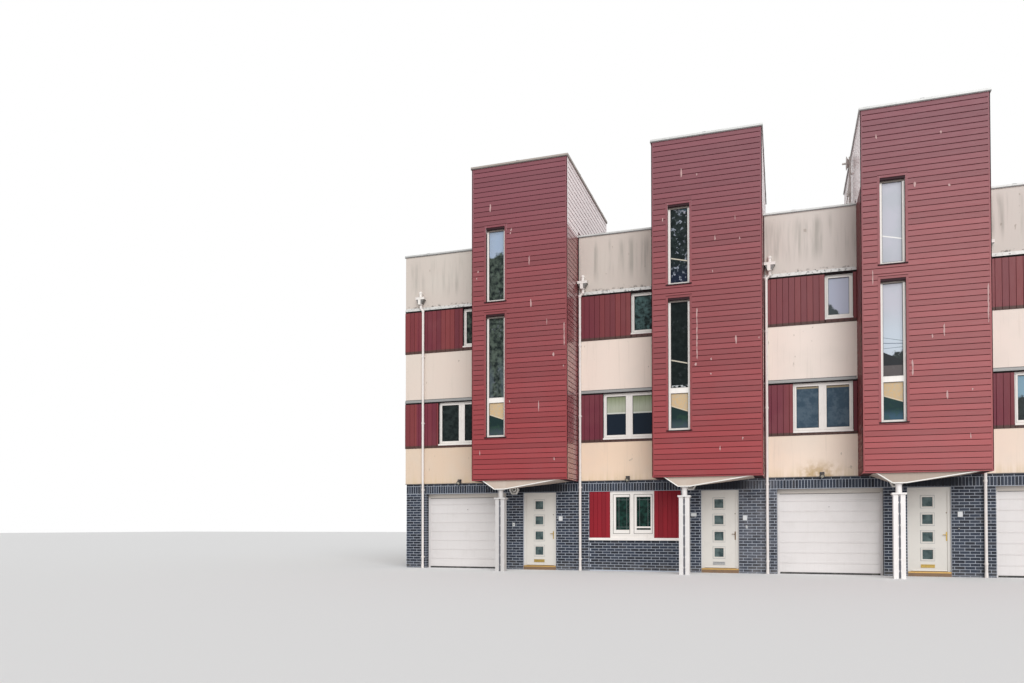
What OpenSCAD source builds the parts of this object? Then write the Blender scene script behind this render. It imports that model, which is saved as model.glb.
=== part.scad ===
// Row of four terraced houses with boarded stair towers that stand out over the front doors.
// The front faces -Y, the row runs along X, and the ground is at z = 0.

/* [Row] */
// Width of one house between party lines
house_w = 5000; // [4900:20:5300]
// Depth of the houses, front wall to back wall
house_d = 9000; // [7000:100:11000]
// Extra width at the left end of the row
left_margin = 370; // [330:10:600]
// Thickness of the outside walls
wall_t = 300; // [260:10:350]
// Thickness of the party walls
party_t = 250; // [230:10:260]
// Thickness of the boards that are laid on towers and panels
clad = 18; // [12:1:25]
// How far the brickwork lies back from the render
brick_in = 25; // [15:1:40]

/* [Storeys] */
// Underside of the brick head course over garages and doors
brick_head_z = 2210; // [2180:10:2300]
// Top of the brick ground storey
brick_top = 2500; // [2480:10:2560]
// Foot of the first-floor board band
band1_z = 3580; // [3400:10:3650]
// Top of the first-floor board band
band1_top = 4970; // [4900:10:5050]
// Foot of the second-floor board band
band2_z = 6440; // [6300:10:6500]
// Top of the second-floor board band
band2_top = 7750; // [7650:10:7850]
// Top of the parapet coping
parapet_top = 9450; // [9200:10:9800]
// Thickness of floors and roof deck
floor_t = 250; // [200:10:300]
// Top of the ground floor
ground_z = 100; // [80:5:110]
// Top of the first floor
floor1_z = 2850; // [2840:10:2950]
// Top of the second floor
floor2_z = 5530; // [5400:10:5600]
// Top of the main roof deck
roof_z = 8250; // [8100:10:8400]

/* [Towers] */
// Width of the cream bay beside each tower
bay_w = 2250; // [2200:10:2300]
// How far a tower stands out over the pavement side
tower_out = 1200; // [1000:10:1400]
// How far a tower reaches back over the roof
tower_back = 3900; // [3000:50:5000]
// Top of the tower coping
tower_top = 11280; // [10800:10:11800]
// Thickness of a tower's front and back walls
tower_t = 200; // [150:10:230]
// Width of the slit windows
slit_w = 550; // [400:10:560]
// Left edge of the slit windows in the house
slit_x = 2670; // [2640:10:2700]
// Foot and head of the lower slit window
slit_low = [3700, 7070];
// Foot and head of the upper slit window
slit_high = [7460, 9490];
// Centre height of the heavy transom in the lower slit window
slit_transom_z = 4730; // [4500:5:4900]
// Lowest line of the folded soffit under a tower
keel_z = 2250; // [2150:10:2350]
// Centre line of the columns, under the folded soffit
column_x = 3050; // [3000:10:3100]

/* [Openings] */
// Garage opening, left and right edges in the house
garage_x = [300, 2840];
// Front door opening, left and right edges in the house
door_x = [3370, 4340];
// First-floor window, left and right edges
window1_x = [710, 2150];
// First-floor window in the back wall, second place
window1b_x = [2850, 4290];
// Second-floor window, left and right edges
window2_x = [1495, 2165];
// Second-floor window in the back wall, second place
window2b_x = [2870, 3540];
// Foot and head of the first-floor windows
window1_z = [3650, 4940];
// Foot and head of the second-floor windows
window2_z = [6535, 7695];
// House whose garage opening is walled up with a window
filled_house = 1; // [0:1:3]
// Top of the brickwork under that window
infill_brick_z = 850; // [700:10:900]
// Window of the walled-up opening, left and right edges
infill_window_x = [890, 2110];

/* [Doors] */
// Foot of the front doors' frames
door_foot_z = 120; // [115:1:140]
// Width of the frame members round a front door
frame_w = 60; // [50:1:70]
// Thickness of a front door leaf
leaf_t = 50; // [44:1:56]
// Side of the square door panes
pane_s = 235; // [200:5:250]
// Pitch of the square door panes
pane_pitch = 435; // [420:5:440]
// Centre line of the door panes in the house
pane_mid = 3825; // [3800:5:3850]
// Centre height of the lowest door pane
pane_z = 540; // [530:5:560]
// Height of one section of a garage door
garage_section = 268; // [250:1:300]

/* [Rainwater] */
// Diameter of the downpipes
pipe_d = 70; // [60:1:80]
// Distance of a downpipe's axis from the wall
pipe_off = 60; // [55:1:80]
// Height at which the downpipes meet their hoppers
hopper_z = 7900; // [7850:10:8000]

/* [Hidden] */
houses = 4;
row_w = left_margin + houses * house_w;
coping_over = 25;
hopper_out = pipe_off + 90;
front_y = (tower_out + coping_over - house_d - hopper_out) / 2;
back_y = front_y + house_d;
coping_h = 65;
joint_gap = 10;
trim_gap = 4;
frame_d = 70;
frame_in = 90;
frame_side = 75;
frame_foot = 100;
mullion = 115;
sill_h = 40;
slit_in = 80;
slit_side = 50;
slit_transom_h = 124;
glass_t = 20;
tower_l = bay_w + clad;
tower_r = house_w - clad;
tower_in_l = bay_w + party_t;
tower_in_r = house_w - party_t;
tower_front = -tower_out + clad;
tower_rear = tower_back - clad;
tower_wall_top = tower_top - 70;
infill_in = 60;
garage_in = 200;
garage_jamb = 70;
garage_head = 120;
leaf_in = 100;
leaf_gap = [7, 8];
leaf_z = [130, 2135];
head_z = 2200;
hinge_x = door_x[0] + frame_w + 2;
hinge_y = leaf_in + leaf_t + 15;
knuckle_r = 8;
knuckle_z = [330, 1130, 1930];
column_y = -1020;
column_top = 1990;
pipe_x = [230, 65, 65, 65];
hopper_side = [-70, 90, 90, 90];
hopper_h = 215;
lamp_x = 3105;
lamp_z = [2290, 2345, 2345, 2345];
lamp_r = 150;
garage_light_x = 1400;
mast_x = tower_l - 78;
mast_y = 1000;
mast_top = 11080;
last = houses - 1;

cream = [0.88, 0.80, 0.70];
maroon = [0.55, 0.22, 0.25];
deep_red = [0.42, 0.13, 0.19];
blue_brick = [0.22, 0.26, 0.36];
white = [0.90, 0.89, 0.87];
grey_metal = [0.62, 0.63, 0.63];
concrete = [0.70, 0.69, 0.66];

// Places: a house's own frame has x from its party line and y inwards from the face of its wall
function house_x(i) = left_margin - row_w / 2 + i * house_w;
function bay_l(i) = i == 0 ? -left_margin : -clad;
function bay_r() = bay_w + clad;
function room_l(i) = i == 0 ? wall_t - left_margin : 0;

module front(i) translate([house_x(i), front_y, 0]) children();
module back(i) translate([house_x(i), back_y, 0]) mirror([0, 1, 0]) children();
module each_front() for (i = [0 : last]) front(i) children();

// A box between two values on each axis
module block(x, y, z) translate([x[0], y[0], z[0]]) cube([x[1] - x[0], y[1] - y[0], z[1] - z[0]]);

// An outline drawn in x and z, carried from y0 to y1
module along_y(y0, y1) translate([0, y1, 0]) rotate([90, 0, 0]) linear_extrude(y1 - y0) children();

// Floors and roof deck

module floor_plates(top, thick) color(concrete)
    for (i = [0 : last]) front(i)
        block([room_l(i), house_w - party_t], [wall_t, house_d - wall_t], [top - thick, top]);

module ground_floor() floor_plates(ground_z, ground_z);
module first_floor() floor_plates(floor1_z, floor_t);
module second_floor() floor_plates(floor2_z, floor_t);

module main_roof() color(concrete)
    translate([0, front_y, 0])
        block([wall_t - row_w / 2, row_w / 2 - party_t], [wall_t, house_d - wall_t],
            [roof_z - floor_t, roof_z]);

module tower_floors() color(concrete)
    for (i = [0 : last], top = [floor1_z, floor2_z, roof_z]) front(i)
        block([tower_in_l, tower_in_r], [tower_front + tower_t, wall_t], [top - floor_t, top]);

// Party walls and the plain ends of the row

module party_walls() color(concrete)
    for (i = [0 : last - 1]) front(i)
        block([house_w - party_t, house_w], [wall_t, house_d - wall_t], [0, roof_z - floor_t]);

module end_walls() color(cream) translate([0, front_y, 0]) {
    block([-row_w / 2, wall_t - row_w / 2], [wall_t, house_d - wall_t], [brick_top, roof_z]);
    block([row_w / 2 - party_t, row_w / 2], [wall_t, house_d - wall_t], [brick_top, roof_z]);
}

module brick_end_walls() color(blue_brick) translate([0, front_y, 0]) {
    block([brick_in - row_w / 2, wall_t - row_w / 2], [wall_t, house_d - wall_t], [0, brick_top]);
    block([row_w / 2 - party_t, row_w / 2 - brick_in], [wall_t, house_d - wall_t], [0, brick_top]);
}

// Brick ground storey: piers between the openings, and one head course over them

module pier(x) block(x, [brick_in, wall_t], [0, brick_head_z]);

module brick_walls() color(blue_brick) {
    front(0) pier([brick_in - left_margin, garage_x[0]]);
    back(0) pier([brick_in - left_margin, window1_x[0]]);
    for (i = [0 : last]) {
        next_l = i == last ? house_w - brick_in : house_w + garage_x[0];
        next_b = i == last ? house_w - brick_in : house_w + window1_x[0];
        front(i) pier([garage_x[1], door_x[0]]);
        front(i) pier([door_x[1], next_l]);
        back(i) pier([window1_x[1], door_x[0]]);
        back(i) pier([door_x[1], next_b]);
    }
}

module head_beam() block([brick_in - left_margin, house_w * houses - brick_in], [brick_in, wall_t],
    [brick_head_z, brick_top]);

module brick_head_course() color(blue_brick) {
    front(0) head_beam();
    back(0) head_beam();
}

module under_window_walls() color(blue_brick) {
    front(filled_house) block(garage_x, [infill_in + brick_in, wall_t], [0, infill_brick_z]);
    for (i = [0 : last]) back(i) block(window1_x, [brick_in, wall_t], [0, infill_brick_z]);
}

// Rendered walls, with board panels between them

function back_span(i) = [i == 0 ? -left_margin : joint_gap / 2,
    i == last ? house_w : house_w - joint_gap / 2];

module render_band(z) {
    for (i = [0 : last]) {
        front(i) block([bay_l(i), bay_r()], [0, wall_t], z);
        back(i) block(back_span(i), [0, wall_t], z);
    }
}

module render_walls() color(cream) {
    render_band([brick_top, band1_z]);
    render_band([band1_top, band2_z]);
}

// A board panel's wall with its windows cut through
module board_band(x, z, windows, window_z) difference() {
    block(x, [0, wall_t], z);
    for (w = windows) block(w, [-1, wall_t + 1], window_z);
}

module board_walls() color(deep_red) {
    for (i = [0 : last]) {
        front(i) board_band([bay_l(i), bay_r()], [band1_z, band1_top], [window1_x], window1_z);
        front(i) board_band([bay_l(i), bay_r()], [band2_z, band2_top], [window2_x], window2_z);
        back(i) board_band(back_span(i), [band1_z, band1_top], [window1_x, window1b_x], window1_z);
        back(i) board_band(back_span(i), [band2_z, band2_top], [window2_x, window2b_x], window2_z);
    }
    front(filled_house) for (x = [[garage_x[0], infill_window_x[0]], [infill_window_x[1], garage_x[1]]])
        block(x, [infill_in, wall_t], [infill_brick_z + frame_d, brick_head_z]);
}

// Parapets round the roof, and the metal copings on them

module parapets() color(cream) {
    z = [band2_top, parapet_top - coping_h];
    end_z = [roof_z, parapet_top - coping_h];
    for (i = [0 : last]) {
        front(i) block([bay_l(i), bay_r()], [0, wall_t], z);
        back(i) block([i == 0 ? wall_t - left_margin + joint_gap : joint_gap / 2,
            i == last ? house_w - party_t - joint_gap : house_w - joint_gap / 2], [0, wall_t], z);
    }
    front(0) block([-left_margin, wall_t - left_margin], [wall_t + joint_gap, house_d], end_z);
    front(last) block([house_w - party_t, house_w], [tower_back + joint_gap, house_d], end_z);
    for (x = [[-left_margin, wall_t - left_margin], [houses * house_w - party_t, houses * house_w]])
        back(0) block(x, [0, wall_t - joint_gap], [band2_top, roof_z - joint_gap]);
}

module parapet_copings() color(grey_metal) {
    z = [parapet_top - coping_h, parapet_top];
    y = [-coping_over, wall_t + coping_over];
    for (i = [0 : last]) {
        front(i) block([bay_l(i) - (i == 0 ? coping_over : 0), bay_r()], y, z);
        back(i) block([i == 0 ? wall_t - left_margin + coping_over + trim_gap : trim_gap / 2,
            i == last ? house_w - party_t - coping_over - trim_gap : house_w - trim_gap / 2], y, z);
    }
    y_end = house_d + coping_over;
    front(0) block([-left_margin - coping_over, wall_t - left_margin + coping_over],
        [wall_t + coping_over + trim_gap, y_end], z);
    front(last) block([house_w - party_t - coping_over, house_w + coping_over],
        [tower_back + trim_gap, y_end], z);
}

// Windows: a frame with its mullions and sill, and a pane seated in each light

module lights(x, z, n, y) for (k = [0 : n - 1]) {
    w = (x[1] - x[0] - 2 * frame_side - mullion * (n - 1)) / n;
    x0 = x[0] + frame_side + k * (w + mullion);
    block([x0, x0 + w], y, [z[0] + frame_foot, z[1] - frame_side]);
}

module window_frame(x, z, n, sill, inset = frame_in) {
    difference() {
        block(x, [inset, inset + frame_d], z);
        lights(x, z, n, [inset - 1, inset + frame_d + 1]);
    }
    if (sill > 0) block(x, [-sill, inset], [z[0], z[0] + sill_h]);
}

// Where a pane sits in the depth of its frame
function pane_y(y) = [(y[0] + y[1] - glass_t) / 2, (y[0] + y[1] + glass_t) / 2];

module window_pane(x, z, n, inset = frame_in) lights(x, z, n, pane_y([inset, inset + frame_d]));

infill_z = [infill_brick_z + frame_d, brick_head_z];
back_ground_z = [infill_brick_z, brick_head_z];

module window_frames() color(white) {
    for (i = [0 : last]) {
        front(i) window_frame(window1_x, window1_z, 2, 20);
        front(i) window_frame(window2_x, window2_z, 1, 20);
        back(i) window_frame(window1_x, back_ground_z, 2, 10);
        for (x = [window1_x, window1b_x]) back(i) window_frame(x, window1_z, 2, 20);
        for (x = [window2_x, window2b_x]) back(i) window_frame(x, window2_z, 1, 20);
    }
    front(filled_house) window_frame(infill_window_x, infill_z, 2, 0, infill_in + 10);
    front(filled_house) block(garage_x, [10, wall_t], [infill_brick_z, infill_brick_z + frame_d]);
}

module window_glass() color([0.35, 0.42, 0.42, 0.6]) {
    for (i = [0 : last]) {
        front(i) window_pane(window1_x, window1_z, 2);
        front(i) window_pane(window2_x, window2_z, 1);
        back(i) window_pane(window1_x, back_ground_z, 2);
        for (x = [window1_x, window1b_x]) back(i) window_pane(x, window1_z, 2);
        for (x = [window2_x, window2b_x]) back(i) window_pane(x, window2_z, 1);
    }
    front(filled_house) window_pane(infill_window_x, infill_z, 2, infill_in + 10);
}

module flashings() color(grey_metal) {
    lip = 22;
    thick = 12;
    for (i = [0 : last], z = [brick_top, band1_top, band2_top]) {
        front(i) block([bay_l(i), bay_r() - clad], [-lip, 0], [z, z + thick]);
        back(i) block([bay_l(i) + (i == 0 ? 0 : clad), house_w - trim_gap], [-lip, 0], [z, z + thick]);
    }
}

// Towers: boarded boxes that stand out from the wall and rise above the roof

module slit_opening(z, y) block([slit_x, slit_x + slit_w], y, z);

module tower_fronts() color(maroon) each_front() difference() {
    block([tower_l, tower_r], [tower_front, tower_front + tower_t], [brick_top, tower_wall_top]);
    for (z = [slit_low, slit_high]) slit_opening(z, [tower_front - 1, tower_front + tower_t + 1]);
}

module tower_cheeks() color(maroon)
    each_front() for (x = [[tower_l, tower_in_l], [tower_in_r, tower_r]])
        block(x, [tower_front + tower_t, wall_t], [brick_top, tower_wall_top]);

module tower_upper_sides() color(maroon)
    each_front() for (x = [[tower_l, tower_in_l], [tower_in_r, tower_r]])
        block(x, [wall_t, tower_rear], [roof_z, tower_wall_top]);

back_slit_z = [roof_z + 350, roof_z + 2100];

module tower_backs() color(maroon) each_front() difference() {
    block([tower_in_l, tower_in_r], [tower_rear - tower_t, tower_rear], [roof_z, tower_wall_top]);
    slit_opening(back_slit_z, [tower_rear - tower_t - 1, tower_rear + 1]);
}

module tower_roofs() color(concrete) each_front()
    block([tower_in_l, tower_in_r], [tower_front + tower_t, tower_rear - tower_t],
        [tower_wall_top - floor_t, tower_wall_top - 60]);

module tower_copings() color(grey_metal) each_front() {
    z = [tower_wall_top, tower_top];
    x = [tower_l - clad - coping_over, tower_r + clad + coping_over];
    y = [-tower_out - coping_over, tower_back + coping_over];
    w = party_t + 2 * coping_over;
    block(x, [y[0], y[0] + w], z);
    block(x, [y[1] - w, y[1]], z);
    block([x[0], x[0] + w], [y[0] + w + trim_gap, y[1] - w - trim_gap], z);
    block([x[1] - w, x[1]], [y[0] + w + trim_gap, y[1] - w - trim_gap], z);
}

slit_light_x = [slit_x + slit_side, slit_x + slit_w - slit_side];
slit_frame_y = [tower_front + slit_in, tower_front + slit_in + frame_d];
back_frame_y = [tower_rear - slit_in - frame_d, tower_rear - slit_in];
transom = [slit_transom_z - slit_transom_h / 2, slit_transom_z + slit_transom_h / 2];

module slit_frame(z, y, transoms) {
    difference() {
        slit_opening(z, y);
        block(slit_light_x, [y[0] - 1, y[1] + 1], [z[0] + slit_side, z[1] - slit_side]);
    }
    for (t = transoms) block(slit_light_x, y, t);
}

module slit_glass(z, y) block(slit_light_x, pane_y(y), z);

module tower_windows() color(white) each_front() {
    slit_frame(slit_low, slit_frame_y, [transom]);
    slit_frame(slit_high, slit_frame_y, []);
    slit_frame(back_slit_z, back_frame_y, []);
}

module tower_glass() color([0.3, 0.36, 0.36, 0.6]) each_front() {
    slit_glass([slit_low[0] + slit_side, transom[0]], slit_frame_y);
    slit_glass([transom[1], slit_low[1] - slit_side], slit_frame_y);
    slit_glass([slit_high[0] + slit_side, slit_high[1] - slit_side], slit_frame_y);
    slit_glass([back_slit_z[0] + slit_side, back_slit_z[1] - slit_side], back_frame_y);
}

// Folded soffit: a deep edge at the front over the column, that folds up to the wall behind
module folded_soffit(y0, y1) polyhedron(
    points = [[tower_in_l + 40, y0, brick_top], [column_x - 150, y0, keel_z],
        [column_x + 150, y0, keel_z], [tower_in_r, y0, brick_top],
        [tower_in_l + 40, y1, brick_top], [tower_in_r, y1, brick_top]],
    faces = [[0, 3, 2, 1], [4, 5, 3, 0], [1, 2, 5, 4], [4, 0, 1], [3, 5, 2]]);

module soffits() color(cream) each_front() {
    folded_soffit(50 - tower_out, brick_in);
    block([tower_in_l, tower_in_r], [tower_front + tower_t, wall_t], [brick_top, floor1_z - floor_t]);
}

// Split columns: two channels with battens between them, a cap plate and a round neck
module columns() color(white) each_front() translate([column_x, column_y, 0]) {
    member = 105;
    width = 260;
    for (s = [-1, 1]) translate([s * (width - member) / 2, 0, column_top / 2])
        cube([member, 200, column_top], center = true);
    translate([0, 20, column_top / 2]) cube([width - 2 * member + 2, 120, column_top], center = true);
    for (k = [0 : 6]) translate([0, -70, 180 + k * 270])
        cube([width - 2 * member + 2, 60, 40], center = true);
    translate([0, 0, column_top + 20]) cube([320, 260, 40], center = true);
    translate([0, 0, column_top + 40]) cylinder(d = 140, h = keel_z - column_top - 40 - 15, $fn = 48);
    translate([0, 0, keel_z - 15]) cylinder(d = 200, h = 15, $fn = 48);
}

// Garage doors: a white frame in the opening, and a leaf of ribbed sections behind it

function garage_houses() = [for (i = [0 : last]) if (i != filled_house) i];

module garage_frames() color(white) for (i = garage_houses()) front(i) difference() {
    block(garage_x, [garage_in, garage_in + frame_d], [0, brick_head_z]);
    block([garage_x[0] + garage_jamb, garage_x[1] - garage_jamb],
        [garage_in - 1, garage_in + frame_d + 1], [-1, brick_head_z - garage_head]);
}

// One edge line of the leaf in y and z, with a groove at each joint between sections
function section_line(h, groove) = [for (k = [1 : floor(h / garage_section)],
    p = [[0, -6], [groove, -3], [groove, 3], [0, 6]]) [p[0], k * garage_section + p[1]]];

module garage_doors() color(white) for (i = garage_houses()) front(i) {
    h = brick_head_z - garage_head;
    y0 = garage_in + 25;
    translate([garage_x[0] + garage_jamb, 0, 0]) rotate([90, 0, 90])
        linear_extrude(garage_x[1] - garage_x[0] - 2 * garage_jamb)
            translate([y0, 0]) polygon(concat([[40, h], [40, 0], [0, 0]], section_line(h, 8), [[0, h]]));
}

// Front doors: a rebated frame on a threshold, and a leaf that opens inwards

module door_frame() {
    outer = [leaf_in - 20, leaf_in + leaf_t];
    inner_x = [door_x[0] + frame_w, door_x[1] - frame_w];
    inner_top = head_z - frame_w;
    difference() {
        block(door_x, outer, [door_foot_z, head_z]);
        block(inner_x, [leaf_in - 5, outer[1] + 1], [door_foot_z - 1, inner_top]);
        block([inner_x[0] + 15, inner_x[1] - 15], [outer[0] - 1, outer[1] + 1],
            [door_foot_z - 1, inner_top - 15]);
    }
}

module door_frames() color(white) for (i = [0 : last]) {
    front(i) door_frame();
    back(i) door_frame();
}

module thresholds() color([0.55, 0.45, 0.3]) for (i = [0 : last]) {
    front(i) block(door_x, [brick_in, wall_t], [0, door_foot_z]);
    back(i) block(door_x, [brick_in, wall_t], [0, door_foot_z]);
}

leaf_x = [door_x[0] + frame_w + leaf_gap[0], door_x[1] - frame_w - leaf_gap[1]];
leaf_y = [leaf_in, leaf_in + leaf_t];
pane_x = [pane_mid - pane_s / 2, pane_mid + pane_s / 2];
letterplate_z = [215, 295];

module pane_holes(y) for (k = [0 : 3]) {
    z = pane_z + k * pane_pitch;
    block(pane_x, y, [z - pane_s / 2, z + pane_s / 2]);
}

module door_leaf() color(white) difference() {
    block(leaf_x, leaf_y, leaf_z);
    pane_holes([leaf_y[0] - 1, leaf_y[1] + 1]);
}

module door_panes() color([0.5, 0.6, 0.62, 0.6])
    pane_holes([leaf_y[0] + 15, leaf_y[0] + 15 + glass_t]);

handle_x = leaf_x[1] - 28;

// Lever on its plate; s is -1 outside and 1 inside
module lever(y, s) {
    block([handle_x - 13, handle_x + 13], s < 0 ? [y - 8, y] : [y, y + 8], [880, 1100]);
    translate([handle_x, y, 1030]) rotate([s * -90, 0, 0]) cylinder(d = 20, h = 45, $fn = 32);
    translate([handle_x + 10, y + s * 40, 1030]) rotate([0, -90, 0]) cylinder(d = 18, h = 95, $fn = 32);
}

module door_furniture() color([0.78, 0.68, 0.42]) {
    lever(leaf_y[0], -1);
    lever(leaf_y[1], 1);
    translate([handle_x, leaf_y[0], 1570]) rotate([90, 0, 0]) cylinder(d = 26, h = 10, $fn = 32);
    block([pane_mid - 155, pane_mid + 155], [leaf_y[0] - 8, leaf_y[0]], letterplate_z);
    for (z = knuckle_z) {
        translate([hinge_x, hinge_y, z + 46]) cylinder(r = knuckle_r, h = 32, $fn = 32);
        block([hinge_x + 6, leaf_x[0] + 60], [leaf_y[1], leaf_y[1] + 10], [z + 46, z + 78]);
    }
}

// The frame's half of each hinge
module door_hinges() color(white) each_front() for (z = knuckle_z) {
    translate([hinge_x, hinge_y, z]) cylinder(r = knuckle_r, h = 45, $fn = 32);
    block([door_x[0] + 10, hinge_x - 6], [leaf_y[1], leaf_y[1] + 8], [z, z + 45]);
    block([hinge_x - 14, hinge_x - 6], [leaf_y[1], hinge_y], [z, z + 45]);
}

module back_doors() color(white) for (i = [0 : last]) back(i)
    block([door_x[0] + frame_w, door_x[1] - frame_w], [leaf_in - 5, leaf_in + leaf_t],
        [door_foot_z, head_z - frame_w]);

// Rainwater pipes with their collars, and the hoppers over them

module pipe_run(x, side) translate([x, -pipe_off, 0]) {
    neck = hopper_z - 200;
    cylinder(d = pipe_d, h = side == 0 ? hopper_z : neck, $fn = 48);
    for (z = [300, 2300, 4300, 6300]) translate([0, 0, z]) {
        cylinder(d = pipe_d + 14, h = 60, $fn = 48);
        translate([-15, 0, 10]) cube([30, pipe_off, 40]);
    }
    if (side != 0) {
        translate([0, 0, neck]) rotate([0, atan2(side, 100), 0])
            cylinder(d = pipe_d, h = norm([side, 100]), $fn = 48);
        translate([0, 0, neck - 30]) cylinder(d = pipe_d + 14, h = 60, $fn = 48);
        translate([side, 0, neck + 75]) cylinder(d = pipe_d + 14, h = 125, $fn = 48);
    }
}

// A flared hopper, with the roof's spout turned down into it
module hopper(x) translate([x, 0, hopper_z]) {
    half = 140;
    spout_z = hopper_h + 130;
    along_y(-hopper_out, 0) polygon([[-50, 0], [50, 0], [half - 15, hopper_h - 65], [half, hopper_h - 65],
        [half, hopper_h], [-half, hopper_h], [-half, hopper_h - 65], [15 - half, hopper_h - 65]]);
    translate([0, -hopper_out / 2, hopper_h - 10]) cylinder(d = 92, h = spout_z - hopper_h + 10, $fn = 48);
    translate([0, -hopper_out / 2, spout_z]) sphere(d = 112, $fn = 48);
    translate([0, 0, spout_z]) rotate([90, 0, 0]) cylinder(d = 92, h = hopper_out / 2, $fn = 48);
}

module downpipes() color(white) for (i = [0 : last]) {
    front(i) pipe_run(pipe_x[i], hopper_side[i]);
    back(i) pipe_run(pipe_x[i], 0);
}

module hoppers() color(white) for (i = [0 : last]) {
    front(i) hopper(pipe_x[i] + hopper_side[i]);
    back(i) hopper(pipe_x[i]);
}

module wall_lights() color([0.2, 0.2, 0.22]) each_front() {
    block([garage_light_x - 40, garage_light_x + 40], [-70, 0], [brick_top + 16, brick_top + 95]);
    translate([garage_light_x, -60, brick_top + 45]) rotate([120, 0, 0]) cylinder(d = 90, h = 70, $fn = 32);
}

// Six-sided lamps on the piers beside the front doors: a ring round a domed glass
module porch_lamps() color(white) for (i = [0 : last]) front(i) translate([lamp_x, brick_in, lamp_z[i]])
    rotate([90, 0, 0]) {
        difference() {
            cylinder(r = lamp_r, h = 70, $fn = 6);
            translate([0, 0, 30]) cylinder(r = lamp_r - 38, h = 41, $fn = 6);
        }
        translate([0, 0, 30]) cylinder(d1 = 150, d2 = 90, h = 35, $fn = 48);
    }

// Mast beside the third tower, with brackets to its left side, a dish seen edge-on and a stay
module aerial_mast() color(grey_metal) front(2) {
    dish_z = mast_top - 170;
    stay_foot = [mast_x - 260, mast_y, roof_z];
    translate([mast_x, mast_y, roof_z]) cylinder(d = 48, h = mast_top - roof_z, $fn = 32);
    for (z = [parapet_top + 150, mast_top - 480])
        block([mast_x, tower_l], [mast_y - 20, mast_y + 20], [z, z + 40]);
    translate([mast_x - 20, mast_y, dish_z]) rotate([0, -90, 0]) cylinder(d1 = 120, d2 = 360, h = 70, $fn = 48);
    translate([mast_x - 80, mast_y, dish_z]) rotate([0, -90, 0]) cylinder(d = 50, h = 110, $fn = 32);
    lean = mast_top - 500 - roof_z;
    translate([0, 0, 4]) translate(stay_foot) rotate([0, atan2(260, lean), 0])
        cylinder(d = 26, h = norm([260, lean]), $fn = 24);
    translate(stay_foot - [60, 60, 0]) cube([120, 120, 10]);
}

ground_floor();
first_floor();
second_floor();
main_roof();
tower_floors();
party_walls();
end_walls();
brick_end_walls();
brick_walls();
brick_head_course();
under_window_walls();
render_walls();
board_walls();
parapets();
parapet_copings();
window_frames();
window_glass();
flashings();
tower_fronts();
tower_cheeks();
tower_upper_sides();
tower_backs();
tower_roofs();
tower_copings();
tower_windows();
tower_glass();
soffits();
columns();
garage_frames();
garage_doors();
door_frames();
thresholds();
door_hinges();
back_doors();
downpipes();
hoppers();
wall_lights();
porch_lamps();
aerial_mast();
front(0) door_leaf();  // front_door_1
front(1) door_leaf();  // front_door_2
front(2) door_leaf();  // front_door_3
front(3) door_leaf();  // front_door_4
front(0) door_panes();  // door_glass_1
front(1) door_panes();  // door_glass_2
front(2) door_panes();  // door_glass_3
front(3) door_panes();  // door_glass_4
front(0) door_furniture();  // door_furniture_1
front(1) door_furniture();  // door_furniture_2
front(2) door_furniture();  // door_furniture_3
front(3) door_furniture();  // door_furniture_4
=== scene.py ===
import math
import random

import bpy
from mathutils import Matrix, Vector


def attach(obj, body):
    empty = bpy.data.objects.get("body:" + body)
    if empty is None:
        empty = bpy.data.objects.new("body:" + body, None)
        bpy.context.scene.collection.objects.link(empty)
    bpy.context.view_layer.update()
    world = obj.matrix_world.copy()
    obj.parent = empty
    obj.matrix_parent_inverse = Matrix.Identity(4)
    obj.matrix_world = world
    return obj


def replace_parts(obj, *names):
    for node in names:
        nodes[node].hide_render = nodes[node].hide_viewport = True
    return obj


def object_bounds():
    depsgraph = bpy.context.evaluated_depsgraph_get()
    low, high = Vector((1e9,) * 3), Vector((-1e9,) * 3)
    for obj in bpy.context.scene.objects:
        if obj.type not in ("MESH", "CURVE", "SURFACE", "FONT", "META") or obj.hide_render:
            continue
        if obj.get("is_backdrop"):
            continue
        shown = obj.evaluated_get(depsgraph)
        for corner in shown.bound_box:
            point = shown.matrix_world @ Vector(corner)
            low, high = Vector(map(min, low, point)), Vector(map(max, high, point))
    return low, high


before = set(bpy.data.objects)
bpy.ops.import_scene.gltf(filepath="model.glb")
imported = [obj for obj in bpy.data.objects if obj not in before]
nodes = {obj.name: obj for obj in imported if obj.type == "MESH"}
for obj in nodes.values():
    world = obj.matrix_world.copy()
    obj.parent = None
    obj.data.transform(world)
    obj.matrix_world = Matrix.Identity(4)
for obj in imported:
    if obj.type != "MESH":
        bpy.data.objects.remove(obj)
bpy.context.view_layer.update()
print("frame loaded,", len(nodes), "nodes")

scene = bpy.context.scene
scene.view_settings.view_transform = "Standard"

# the row's own places, in metres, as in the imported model
row = {
    "houses": 4, "pitch": 5.0, "firstHouse": -9.815, "leftMargin": 0.37, "frontY": -3.9625, "backY": 5.0375,
    "brickIn": 0.025, "brickHead": 2.21, "brickTop": 2.5, "bands": [(3.58, 4.97), (6.44, 7.75)],
    "parapetTop": 9.45, "copingFoot": 9.385, "bay": 2.25, "roof": 8.25, "wall": 0.30,
    "towerFront": -1.182, "towerLeft": 2.268, "towerRight": 4.982, "towerRear": 3.882,
    "towerWallTop": 11.21, "towerTop": 11.28, "garage": (0.3, 2.84), "door": (3.37, 4.34),
    "window1": (0.71, 2.15), "window1b": (2.85, 4.29), "window2": (1.495, 2.165), "window2b": (2.87, 3.54),
    "window1Z": (3.65, 4.94), "window2Z": (6.535, 7.695),
    "slitX": (2.67, 3.22), "slitLow": (3.70, 7.07), "slitHigh": (7.46, 9.49), "backSlit": (8.6, 10.35),
    "transom": (4.668, 4.792), "filled": 1, "infillBrick": 0.85, "infillWindow": (0.89, 2.11),
    "infillIn": 0.06, "pipes": (0.23, 0.065, 0.065, 0.065),
}
houses = range(row["houses"])
lastHouse = row["houses"] - 1


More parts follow.
